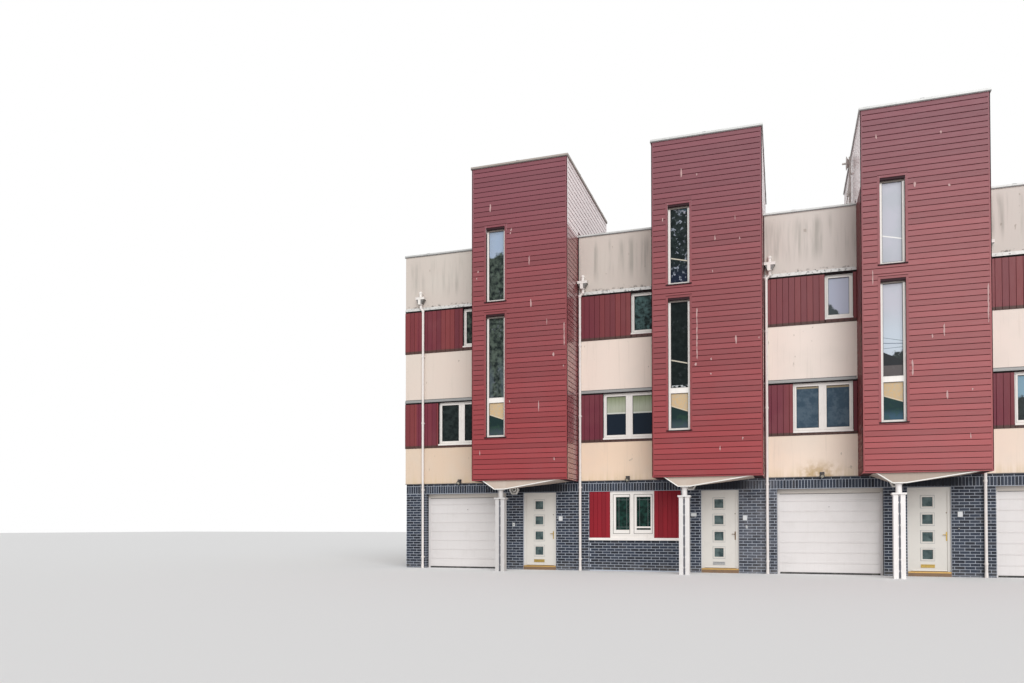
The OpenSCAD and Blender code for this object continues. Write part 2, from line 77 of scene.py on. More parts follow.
def houseX(i):
    return row["firstHouse"] + row["pitch"] * i


rowLeft, rowRight = houseX(0) - row["leftMargin"], houseX(row["houses"])


# camera where the photograph was taken
cameraSet = {"place": (0.608, -25.8925, 1.22), "turn": 18.63, "tilt": 1.05, "lens": 28.16, "shiftY": 0.1668}
cameraData = bpy.data.cameras.new("camera")
camera = bpy.data.objects.new("camera", cameraData)
scene.collection.objects.link(camera)
camera.location = cameraSet["place"]
camera.rotation_euler = (math.radians(90 + cameraSet["tilt"]), 0, math.radians(cameraSet["turn"]))
cameraData.lens = cameraSet["lens"]
cameraData.sensor_width = 36
cameraData.shift_y = cameraSet["shiftY"]
cameraData.clip_end = 500
scene.camera = camera


# a number or colour on its way through a material's nodes, so that sums read as sums
class Value:
    def __init__(self, look, socket):
        self.look = look
        self.socket = socket

    def __mul__(self, other):
        return self.look.maths("MULTIPLY", self, other)

    def __add__(self, other):
        return self.look.maths("ADD", self, other)

    def __sub__(self, other):
        return self.look.maths("SUBTRACT", self, other)

    def __gt__(self, other):
        return self.look.maths("GREATER_THAN", self, other)

    def __lt__(self, other):
        return self.look.maths("LESS_THAN", self, other)

    def __abs__(self):
        return self.look.maths("ABSOLUTE", self)

    def ramp(self, low, high, kind="SMOOTHSTEP"):
        # 0 at low and 1 at high, which may be the smaller one
        made = self.look.node("ShaderNodeMapRange", interpolation_type=kind)
        self.look.feed(made.inputs["Value"], self)
        made.inputs["From Min"].default_value = low
        made.inputs["From Max"].default_value = high
        return Value(self.look, made.outputs[0])

    def even(self, low, high):
        return self.ramp(low, high, "LINEAR")

    def within(self, low, high):
        return (self > low) * (self < high)


# a material in the making, whose base colour is painted over in layers
class Look:
    x = property(lambda self: self.split("Object", 0))
    y = property(lambda self: self.split("Object", 1))
    z = property(lambda self: self.split("Object", 2))

    def __init__(self, name, colour, roughness=0.5, metallic=0.0, specular=0.5):
        self.material = bpy.data.materials.new(name)
        self.material.use_nodes = True
        self.tree = self.material.node_tree
        self.shader = self.tree.nodes["Principled BSDF"]
        self.feed(self.shader.inputs["Base Color"], colour)
        self.feed(self.shader.inputs["Roughness"], roughness)
        self.feed(self.shader.inputs["Metallic"], metallic)
        self.feed(self.shader.inputs["Specular IOR Level"], specular)
        self.coords = self.node("ShaderNodeTexCoord")
        self.base = colour
        self.parts = {}

    def node(self, kind, **values):
        made = self.tree.nodes.new(kind)
        for key, value in values.items():
            setattr(made, key, value)
        return made

    def feed(self, socket, value):
        if isinstance(value, Value):
            self.tree.links.new(value.socket, socket)
        elif isinstance(value, tuple) and socket.type == "RGBA":
            socket.default_value = (*value, 1)
        else:
            socket.default_value = value

    def maths(self, how, a, b=0.0, c=0.0):
        made = self.node("ShaderNodeMath", operation=how)
        for socket, value in zip(made.inputs, (a, b, c)):
            self.feed(socket, value)
        return Value(self, made.outputs[0])

    def larger(self, a, b):
        return self.maths("MAXIMUM", a, b)

    def split(self, source, which):
        if source not in self.parts:
            self.parts[source] = self.node("ShaderNodeSeparateXYZ")
            self.tree.links.new(self.coords.outputs[source], self.parts[source].inputs[0])
        return Value(self, self.parts[source].outputs[which])

    def facing(self, which):
        return self.split("Normal", which)

    def alongHouse(self):
        return self.maths("WRAP", self.x - row["firstHouse"], row["pitch"])

    def inHouse(self, first, last):
        return self.x.within(houseX(first), houseX(last))

    def noise(self, scale=5.0, detail=3.0, rough=0.5):
        # a scale for each axis draws the grain out along the axis with the smallest one
        made = self.node("ShaderNodeTexNoise")
        vector = self.coords.outputs["Object"]
        if isinstance(scale, tuple):
            drawn = self.node("ShaderNodeMapping")
            drawn.inputs["Scale"].default_value = scale
            self.tree.links.new(vector, drawn.inputs["Vector"])
            vector, scale = drawn.outputs[0], 1.0
        self.tree.links.new(vector, made.inputs["Vector"])
        for key, value in (("Scale", scale), ("Detail", detail), ("Roughness", rough)):
            made.inputs[key].default_value = value
        return Value(self, made.outputs["Fac"])

    def mix(self, share, a, b):
        made = self.node("ShaderNodeMix", data_type="RGBA")
        for key, value in ((0, share), (6, a), (7, b)):
            self.feed(made.inputs[key], value)
        return Value(self, made.outputs[2])

    def paint(self, share, colour):
        self.base = self.mix(share, self.base, colour)

    def tone(self, colour, factor):
        made = self.node("ShaderNodeHueSaturation")
        self.feed(made.inputs["Color"], colour)
        self.feed(made.inputs["Value"], factor)
        return Value(self, made.outputs[0])

    def shade(self, factor):
        self.base = self.tone(self.base, factor)

    def island(self):
        # one random number for each brick or board
        return Value(self, self.node("ShaderNodeNewGeometry").outputs["Random Per Island"])

    def plaster(self):
        # plaster within the rooms, nothing on the outer faces
        room = plasterSet
        inside = (abs(self.x) < room["x"]) * (abs(self.y - room["middleY"]) < room["y"])
        self.paint(inside * (self.z < room["top"]), room["colour"])

    def finish(self, height, strength, distance=0.002, rough=None):
        self.feed(self.shader.inputs["Base Color"], self.base)
        if rough:
            self.feed(self.shader.inputs["Roughness"], rough)
        bump = self.node("ShaderNodeBump")
        bump.inputs["Strength"].default_value = strength
        bump.inputs["Distance"].default_value = distance
        self.feed(bump.inputs["Height"], height)
        self.tree.links.new(bump.outputs[0], self.shader.inputs["Normal"])
        return self.material


plasterSet = {"colour": (0.72, 0.70, 0.66), "x": 9.9, "middleY": 0.54, "y": 4.21, "top": 8.02}

# render: warm below, paler between the bands, grey and streaked on the parapet, and made paler towards
# the right of the row by painted light
renderSet = {"low": (0.820, 0.640, 0.490), "high": (0.825, 0.705, 0.620), "parapet": (0.585, 0.520, 0.470),
             "paintedLightLow": (0.90, 0.86, 0.82), "paintedLightParapet": (0.78, 0.74, 0.71),
             "cloud": (0.62, 0.60, 0.54), "drip": (0.27, 0.26, 0.23), "rim": (0.05, 0.05, 0.05),
             "streak": (0.45, 0.40, 0.33), "speck": (0.30, 0.25, 0.20), "foot": (0.62, 0.48, 0.26),
             "stain": (0.42, 0.27, 0.09), "stainAt": 1.35}


def makeRender():
    look, tint = Look("creamRender", (0.80, 0.68, 0.55), 0.85, specular=0.2), renderSet
    x, z = look.x, look.z
    parapet, fine = z.ramp(7.70, 7.75), look.noise((16.0, 16.0, 0.7), 3, 0.6)
    look.base = look.mix(z.ramp(3.9, 4.7), tint["low"], tint["high"])
    look.paint(x.ramp(-7.4, -7.7) * z.ramp(7.75, 7.70), look.tone(look.base, 0.83))
    look.paint(parapet, tint["parapet"])
    # painted light: paler and more neutral towards the right of the row
    look.paint(x.ramp(-1.0, 1.5) * 0.33, look.mix(parapet, tint["paintedLightLow"], tint["paintedLightParapet"]))
    look.paint(look.noise(0.9, 3, 0.5).ramp(0.42, 0.75) * 0.25, tint["cloud"])
    high = z.ramp(7.95, 8.5) * z.ramp(9.38, 9.0)
    look.paint(high * look.noise((5.0, 5.0, 0.35), 4, 0.6).ramp(0.44, 0.70) * 0.55, tint["drip"])
    rim = z.ramp(7.92, 7.84) * look.noise(11, 3, 0.6).ramp(0.50, 0.66)
    look.paint(rim * (z > 7.7) * 0.75, tint["rim"])
    look.paint(fine.ramp(0.55, 0.78) * 0.16, tint["streak"])
    look.paint(look.noise((9.0, 9.0, 5.0), 2, 0.5).ramp(0.72, 0.77) * 0.5, tint["speck"])
    look.paint(z.ramp(2.85, 2.52) * fine.ramp(0.35, 0.65) * 0.35, tint["foot"])
    # brown stain round the light of the third house
    stain = abs(x - (houseX(2) + tint["stainAt"])).ramp(0.75, 0.1) * z.ramp(3.05, 2.6)
    look.paint(stain * look.noise(5, 4, 0.6).ramp(0.35, 0.65) * 0.7, tint["stain"])
    look.plaster()
    return look.finish(look.noise(140, 3) + look.noise(9, 2) * 0.8, 0.25, 0.003)


def lintelShade(look):
    # painted shade: the brickwork over each front door lies deep under the tower
    u = look.alongHouse()
    front = look.y < row["frontY"] + 0.06
    return u.ramp(2.9, 3.3) * u.ramp(4.75, 4.3) * front * look.z.ramp(2.17, 2.26)


# bricks: a dark to mid blue drawn for each one, paler about the middle party wall, painted shade over
# the front doors, dirty at the foot
brickTints = {"stops": [(0.0, (0.012, 0.016, 0.028)), (0.35, (0.019, 0.027, 0.047)),
                        (0.7, (0.029, 0.043, 0.075)), (0.92, (0.050, 0.066, 0.100)),
                        (1.0, (0.044, 0.043, 0.052))],
              "speck": (0.13, 0.14, 0.16), "pale": (0.34, 0.33, 0.35), "shadow": (0.003, 0.005, 0.010),
              "foot": (0.20, 0.18, 0.15)}


def makeBrick():
    look, tint = Look("blueBrick", (0.03, 0.04, 0.06), 0.45, specular=0.32), brickTints
    ramp = look.node("ShaderNodeValToRGB")
    look.feed(ramp.inputs[0], look.island())
    elements = ramp.color_ramp.elements
    elements[0].color = (*tint["stops"][0][1], 1)
    elements[1].color = (*tint["stops"][-1][1], 1)
    for at, colour in tint["stops"][1:-1]:
        elements.new(at).color = (*colour, 1)
    speck = look.noise(60, 4, 0.6)
    look.base = look.tone(Value(look, ramp.outputs[0]), look.noise(18, 3).even(-0.6, 1.1))
    look.paint(speck.ramp(0.55, 0.75) * 0.35, tint["speck"])
    look.paint(look.x.within(-0.49, 0.49) * look.noise(3, 3).ramp(0.2, 0.8) * 0.26, tint["pale"])
    # painted shade over the front doors
    look.paint(lintelShade(look) * 0.85, tint["shadow"])
    look.paint(look.z.ramp(0.35, 0.0) * look.noise(4, 3).ramp(0.3, 0.7) * 0.30, tint["foot"])
    return look.finish(speck, 0.35, rough=speck.even(-0.7, 1.4))


mortarSet = {"dark": (0.36, 0.39, 0.45), "light": (0.50, 0.53, 0.59), "shadow": (0.012, 0.016, 0.028)}


def makeMortar():
    look, tint = Look("mortar", (0.45, 0.46, 0.50), 0.9, specular=0.15), mortarSet
    grain = look.noise(90, 4, 0.7)
    look.base = look.mix(grain.ramp(0.3, 0.7), tint["dark"], tint["light"])
    # painted shade over the front doors
    look.paint(lintelShade(look) * 0.93, tint["shadow"])
    look.plaster()
    return look.finish(grain, 0.4)


# tower boards: redder low down, greyer above, paler to the right of the row by painted light, with painted
# light on the right sides, painted shade on the left ones, and a painted reflection of the sky, flecked with
# red, where the sides stand over the parapet and the roofs
towerSet = {"low": (0.292, 0.036, 0.041), "middle": (0.248, 0.049, 0.056), "high": (0.205, 0.056, 0.074),
            "paintedLightRight": (0.46, 0.165, 0.165), "dusk": (0.12, 0.02, 0.03), "cloud": (0.25, 0.095, 0.105),
            "firstRight": (0.345, 0.125, 0.130), "right": (0.47, 0.155, 0.150),
            "left": (0.130, 0.022, 0.024), "chalk": (0.93, 0.80, 0.80), "fleck": (0.36, 0.20, 0.20)}


def makeTowerBoards(name, shade=1.0):
    look, tint = Look(name, (0.25, 0.05, 0.055), 0.35, specular=0.45), towerSet
    x, z = look.x, look.z
    look.base = look.mix(z.ramp(3.0, 7.0), tint["low"], tint["middle"])
    look.paint(z.ramp(7.0, 11.0), tint["high"])
    # painted light: paler towards the right of the row, most of all low down
    look.paint(x.ramp(-1.0, 4.5) * z.ramp(11.5, 7.5) * 0.30, tint["paintedLightRight"])
    look.paint(x.ramp(-5.2, -3.0) * z.ramp(6.0, 9.5) * 0.12, tint["dusk"])
    look.paint(look.noise(0.8, 4, 0.55).ramp(0.45, 0.72) * 0.14, tint["cloud"])
    # painted light on the sides that face right, painted shade on those that face left
    right, left = look.facing(0).ramp(0.5, 0.8), look.facing(0).ramp(-0.5, -0.8)
    look.paint(right * 0.85, look.mix(x.ramp(-4.0, -1.0), tint["firstRight"], tint["right"]))
    look.paint(left * 0.85, tint["left"])
    look.shade(look.island().even(-3.2, 1.3) * (1.12 * shade))
    # painted reflection of the pale sky, flecked with red, on the sides over the parapet and over the roofs
    behind = (look.y > row["frontY"] + 0.33) * (z > row["roof"])
    skyReflected = look.larger(z > row["copingFoot"], behind) * (right + left)
    fleck = look.noise((7.0, 7.0, 20.0), 4, 0.7).ramp(0.60, 0.67) * 0.6
    look.paint(skyReflected * 0.95, look.mix(fleck, tint["chalk"], tint["fleck"]))
    shine = look.larger(right, skyReflected)
    look.feed(look.shader.inputs["Specular IOR Level"], shine * 0.35 + left * -0.3 + 0.42)
    grain = look.noise((4.0, 4.0, 60.0), 4, 0.6)
    return look.finish(grain, 0.2, 0.0012, look.mix(shine, grain.even(-0.9, 2.1), grain.even(-0.3, 3.0)))


# colours laid over the band boards, the backing and the plain looks
shadeSet = {"crimson": (0.125, 0.007, 0.030), "bandFoot": (0.050, 0.024, 0.016),
            "backing": (0.42, 0.33, 0.33), "browned": (0.27, 0.21, 0.17), "copingEdge": (0.055, 0.05, 0.05),
            "slitHead": (0.24, 0.19, 0.165), "spot": (0.10, 0.10, 0.10), "dull": (0.27, 0.27, 0.265),
            "shadeOverBrick": (0.075, 0.075, 0.08), "hopper": (0.09, 0.085, 0.08),
            "garageTop": (0.50, 0.47, 0.45), "garageHead": (0.54, 0.49, 0.44), "joint": (0.10, 0.08, 0.07),
            "bronze": (0.20, 0.13, 0.075), "silver": (0.42, 0.42, 0.42), "lock": (0.16, 0.13, 0.08)}


def makeBandBoards(name, dark, light, grey, footDarkening, specular):
    # crimson beside the party walls, greyer to the right and higher up
    look = Look(name, light, 0.45, specular=specular)
    x, z, grain = look.x, look.z, look.noise((70.0, 70.0, 3.0), 4, 0.6)
    look.base = look.mix(look.island().even(-0.1, 1.1), dark, light)
    if footDarkening:
        look.paint(look.alongHouse().ramp(0.85, 0.30) * z.ramp(9.5, 4.0) * 0.75, shadeSet["crimson"])
    look.paint(x.ramp(-6.0, 4.0) * z.ramp(3.0, 7.5) * 0.6, grey)
    look.paint(look.noise(0.8, 4, 0.55).ramp(0.45, 0.72) * 0.3, grey)
    if footDarkening:
        for foot, top in row["bands"]:
            near = z.ramp(foot + 0.10, foot + 0.06) * (z > foot - 0.05)
            look.paint(near * footDarkening, shadeSet["bandFoot"])
    return look.finish(grain, 0.25, 0.0015, grain.even(-1.0, 1.8))


def makeBacking(name, colour):
    look = Look(name, colour, 0.8, specular=0.2)
    grain = look.noise(30, 3)
    look.shade(grain.even(-0.5, 1.0))
    # painted reflection of the pale sky, where the backing shows between the side boards over the parapet
    look.paint((abs(look.facing(0)) > 0.5) * (look.z > row["copingFoot"]), shadeSet["backing"])
    look.plaster()
    return look.finish(grain, 0.2)


def makePlain(name, colour, roughness, dirt=0.12, scale=6.0, bump=(80.0, 0.12), metallic=0.0,
              dirtColour=(0.35, 0.32, 0.28), drips=0.0, specular=0.5, extra=None):
    look = Look(name, colour, roughness, metallic, specular)
    look.paint(look.noise(scale, 4, 0.6).ramp(0.45, 0.8) * dirt, dirtColour)
    if drips:
        look.paint(look.noise((24.0, 24.0, 1.2), 4, 0.6).ramp(0.52, 0.72) * drips, dirtColour)
    if extra:
        extra(look)
    fine = look.noise(bump[0], 3, 0.6)
    return look.finish(fine, bump[1], 0.001, fine * 0.18 + (roughness - 0.09))


def copingShade(look):
    # the turned-down edges lie in shade, and the first tower's metal has browned
    z = look.z
    look.paint((look.x < -4.5) * z.within(11.0, row["towerTop"] - 0.002) * 0.7, shadeSet["browned"])
    edges = [z.within(foot - 0.01, foot + 0.024) for foot in (row["towerWallTop"], row["copingFoot"])]
    look.paint((edges[0] + edges[1]) * (abs(look.facing(1)) > 0.5) * 0.85, shadeSet["copingEdge"])


def slitHeadShade(look):
    # heads of the tower windows, dark in their recesses
    tops = [look.z.within(row[slit][1] - 0.062, row[slit][1]) for slit in ("slitLow", "slitHigh")]
    look.paint((tops[0] + tops[1]) * (look.y < row["frontY"] - 0.5) * 0.9, shadeSet["slitHead"])


def flashingShade(look):
    # painted shade over the brickwork, dull grey at the first floor with a thin painted shadow line along the
    # top of its cover, paler and spotted at the top
    look.paint(look.noise(14, 3, 0.6).ramp(0.54, 0.64) * 0.7, shadeSet["spot"])
    # a thin painted shadow line along the top of the first floor's cover, dull grey below it
    look.paint(look.z < 6.0, look.mix(look.z.ramp(5.04, 5.02), shadeSet["spot"], shadeSet["dull"]))
    # painted shade on the flashing over the brickwork
    look.paint(look.z < 3.0, shadeSet["shadeOverBrick"])


def hopperShade(look):
    # only the rim, the spout and the middle of each hopper catch the light
    middle = (look.x < houseX(1) - 1.0) * 0.005 + 0.135
    away = abs(look.alongHouse() - middle) > 0.042
    look.paint(away * look.z.within(7.91, 8.055) * (look.y < 0.0) * 0.9, shadeSet["hopper"])


def garageShade(look):
    # brighter to the right of the row, shaded under the head, which is duller
    look.shade(look.x.ramp(-5.0, 1.0) * 0.07 + 1.0)
    look.paint(look.z.ramp(1.75, 2.09) * 0.25, shadeSet["garageTop"])
    look.paint(look.z > 2.088, shadeSet["garageHead"])


def soffitBoards(look):
    joint = look.maths("FRACT", look.maths("DIVIDE", look.y, 0.15)) < 0.06
    look.shade(look.x.ramp(0.0, 3.0) * -0.2 + 1.0)
    look.paint(joint * (look.facing(2) < -0.4), shadeSet["joint"])


def columnShade(look):
    look.shade(look.x.ramp(-7.0, 3.0) * 0.42 + 0.84)


def furnitureMetal(look):
    # bronze handle and silver letter plate at the second house, brass at the others; dark locks at all
    second = look.inHouse(1, 2)
    look.paint(second, shadeSet["bronze"])
    look.paint(second * (look.z < 0.5), shadeSet["silver"])
    look.paint(look.z.within(1.5, 1.7), shadeSet["lock"])


# glass: a painted reflection, pale sky above and dark and broken below; where a name has two colours, a
# noise or a place mixes them
glassSet = {"pale": ((0.32, 0.40, 0.52), (0.49, 0.49, 0.55)), "paleCloud": (0.40, 0.44, 0.47),
            "windowRight": (0.48, 0.51, 0.63), "windowLast": (0.21, 0.35, 0.44),
            "thirdSlit": (0.50, 0.56, 0.63), "broken": ((0.040, 0.075, 0.095), (0.40, 0.40, 0.46)),
            "dark": (0.007, 0.012, 0.012), "fleck": (0.024, 0.034, 0.033),
            "firstFleck": (0.086, 0.112, 0.090), "secondFleck": (0.095, 0.170, 0.170),
            "haze": (0.105, 0.135, 0.155), "blue": (0.012, 0.018, 0.036), "deep": (0.003, 0.006, 0.006),
            "third": ((0.050, 0.086, 0.124), (0.092, 0.136, 0.178)), "secondLow": (0.010, 0.018, 0.031),
            "infill": ((0.004, 0.013, 0.011), (0.014, 0.052, 0.041)), "stroke": (0.34, 0.37, 0.43),
            "thirdFoot": (0.105, 0.090, 0.090), "thirdCorner": (0.045, 0.060, 0.066),
            "line": (0.16, 0.20, 0.25), "ridge": (0.012, 0.015, 0.018),
            "edgeFoot": ((8.12, 1, 4), (5.475, 1, 2)), "edgeSlope": -0.24,
            "edge": ((0.55, 0.50, 0.41), (0.80, 0.79, 0.77)), "jag": (0.40, 0.42, 0.43),
            "blind": ((0.43, 0.46, 0.36), (0.25, 0.29, 0.17)), "blindFoot": (0.60, 0.62, 0.57),
            "rolled": (0.36, 0.30, 0.20), "falls": ((-0.8, 1.6, -1.9), (1.6, 3.0, -1.55), (3.6, 6.0, -0.95)),
            "lines": ((-0.06, 5.76, 0.009), (0.05, 5.33, 0.006), (-0.22, 6.33, 0.006))}


# the pale part of the painted reflection: a cloudy sky
def paintedSkyReflection(look, slit, window, second, third):
    tint = glassSet
    pale = look.mix(look.x.ramp(-6.0, 2.0), *tint["pale"])
    pale = look.mix(look.noise(1.6, 3).ramp(0.42, 0.66) * 0.4, pale, tint["paleCloud"])
    pale = look.mix(window * look.x.ramp(1.0, 1.5), pale, tint["windowRight"])
    pale = look.mix(window * (look.x > 5.2), pale, tint["windowLast"])
    pale = look.mix(third * slit * look.z.ramp(6.6, 5.7), pale, tint["thirdSlit"])
    return look.mix(second * slit, pale, look.mix(look.noise(7.0, 4, 0.7).ramp(0.46, 0.60), *tint["broken"]))


# the dark, broken part of the painted reflection, with lighter flecks, haze and pale strokes
def paintedDarkReflection(look, slit, window, second, third, front, leaf):
    tint, z, fine = glassSet, look.z, look.noise(9.0, 4, 0.6)
    secondSlit, upper = second * slit, z > 7.3
    first = front * look.larger(slit, z > 5.5) * (look.x < -5.0)
    fleck = look.mix(first, tint["fleck"], tint["firstFleck"])
    fleck = look.mix(second * window * (z > 5.5), fleck, tint["secondFleck"])
    dark = look.mix(fine.ramp(0.33, 0.72), tint["dark"], fleck)
    haze = z.ramp(6.1, 5.3) * look.noise((6.0, 6.0, 1.4), 3, 0.6).ramp(0.40, 0.62)
    dark = look.mix(first * slit * haze * 0.55, dark, tint["haze"])
    dark = look.mix(secondSlit * upper * z.ramp(8.1, 7.6), dark, tint["blue"])
    dark = look.mix(secondSlit * (upper * -0.6 + 0.6), dark, tint["deep"])
    thirdView = look.mix(look.noise(5.0, 4, 0.6).ramp(0.38, 0.64), *tint["third"])
    dark = look.mix(third * window * 0.9, dark, thirdView)
    dark = look.mix(second * window * (z < 4.5), dark, tint["secondLow"])
    dark = look.mix(window * (z < 2.5), dark, look.mix(fine.ramp(0.36, 0.66), *tint["infill"]))
    gap = look.noise(13.0, 3, 0.6).ramp(0.57, 0.62) * leaf.ramp(0.44, 0.56)
    strokes = slit * (secondSlit * upper * 0.70 + secondSlit * -0.16 + 0.2)
    dark = look.mix(gap * strokes, dark, tint["stroke"])
    return look.mix(third * slit * (z < 5.06) * 0.85, dark, tint["thirdFoot"])


# the lit room low in the towers: a dark part, a tan part over a slanting line, and a pale foot
roomSet = {"line": (-0.35, 5.285), "across": (-3.0, 3.5),
           "deep": ((0.012, 0.030, 0.030), (0.020, 0.044, 0.047)),
           "foot": ((0.050, 0.072, 0.085), (0.055, 0.108, 0.155)), "green": (0.035, 0.085, 0.045),
           "tan": ((0.60, 0.42, 0.23), (0.50, 0.42, 0.31)), "edge": (0.68, 0.62, 0.50)}


def roomGlass(look, u):
    tint, z, across = roomSet, look.z, look.x.ramp(*roomSet["across"])
    slope, start = tint["line"]
    above = z - (u * slope + start)
    room = look.mix(z.ramp(4.05, 3.80), look.mix(across, *tint["deep"]), look.mix(across, *tint["foot"]))
    room = look.mix(look.noise(8, 3).ramp(0.5, 0.7) * 0.35, room, tint["green"])
    tan = look.mix(look.noise(22, 4, 0.6).ramp(0.38, 0.66), *tint["tan"])
    room = look.mix(above.ramp(-0.012, 0.012), room, tan)
    return look.mix(above.within(0.0, 0.022) * 0.7, room, tint["edge"])


def makeWindowGlass():
    look, tint = Look("windowGlass", (0.03, 0.04, 0.04), 0.07, specular=0.09), glassSet
    x, z, u = look.x, look.z, look.alongHouse()
    front = look.y < -1.0
    slit, window = front * u.within(2.6, 3.3), front * u.within(0.7, 2.2)
    second, third, leaf = look.inHouse(1, 2), look.inHouse(2, 3), look.noise(2.4, 6, 0.65)
    secondSlit, thirdSlit, thirdWindow = second * slit, third * slit, third * window
    # the height at which the dark part ends falls to the right
    line = secondSlit * 0.65 + 8.75
    for first, last, fall in tint["falls"]:
        line = x.even(first, last) * fall + line
    over = (leaf - 0.5) * 1.5 + z - line
    dark = paintedDarkReflection(look, slit, window, second, third, front, leaf)
    # painted reflection: the pale sky over the dark part, meeting along a ragged line
    look.base = look.mix(over.ramp(-0.05, 0.07), dark, paintedSkyReflection(look, slit, window, second, third))
    # a dark corner, thin lines and a dark ridge of the painted reflection in the third house's glass
    corner = ((x - 1.72) * 0.9 + leaf * 0.6 + z).ramp(7.33, 7.25)
    look.paint(thirdWindow * corner * (z > 5.5), tint["thirdCorner"])
    for slope, start, half in tint["lines"]:
        look.paint(thirdSlit * (abs(z - (u * slope + start)) < half), tint["line"])
    look.paint(thirdSlit * (z < u * -0.49 + 6.72) * (z > 5.06), tint["ridge"])
    look.paint(slit * (z < 4.70), roomGlass(look, u))
    # pale floor edges behind the stair glass
    for at, first, last in tint["edgeFoot"]:
        near = abs(z - ((u - 2.945) * tint["edgeSlope"] + at)) < 0.015
        look.paint(near * slit * look.inHouse(first, last), look.mix(x > 1.0, *tint["edge"]))
    look.paint(z.within(4.79, 4.87) * (look.noise(19, 2) > 0.5) * secondSlit, tint["jag"])
    # a green blind in the second house, a rolled one in the third
    cloth = look.mix(z.ramp(4.52, 4.88), *tint["blind"])
    cloth = look.mix(look.noise((26.0, 1.0, 1.5), 3, 0.6).ramp(0.4, 0.7), cloth, look.tone(cloth, 0.85))
    cloth = look.mix(z < 4.41, cloth, tint["blindFoot"])
    look.paint(second * window * z.within(4.37, 4.95), cloth)
    look.paint(thirdWindow * z.within(4.80, 4.95), tint["rolled"])
    return look.finish(look.noise(1.3, 2), 0.05)


def makeDoorGlass():
    look = Look("doorGlass", (0.10, 0.13, 0.13), 0.10, specular=0.2)
    look.base = look.mix(look.noise(6, 3).ramp(0.3, 0.7), (0.030, 0.052, 0.056), (0.105, 0.150, 0.150))
    return look.finish(look.noise(55, 3, 0.6), 0.35)


# dark, light and grey of the boards, how much darker they are at their foot, and specular level
bandSet = {"bandBoards": ((0.100, 0.006, 0.018), (0.200, 0.030, 0.030), (0.215, 0.061, 0.066), 0.9, 0.4),
           "infillBoards": ((0.190, 0.004, 0.012), (0.275, 0.008, 0.018), (0.17, 0.008, 0.016), 0.0, 0.25)}

looks = {
    "render": makeRender(),
    "brick": makeBrick(),
    "mortar": makeMortar(),
    "towerBoards": makeTowerBoards("towerBoards"),
    "towerTrim": makeTowerBoards("towerTrim", 0.96),
    # painted shade: both backings are near black, for the shade in the grooves, gaps and reveals where they
    # show
    "towerBacking": makeBacking("towerBacking", (0.045, 0.012, 0.014)),
    "bandBacking": makeBacking("bandBacking", (0.014, 0.007, 0.008)),
    "glass": makeWindowGlass(),
    "doorGlass": makeDoorGlass(),
}
for name, values in bandSet.items():
    looks[name] = makeBandBoards(name, *values)

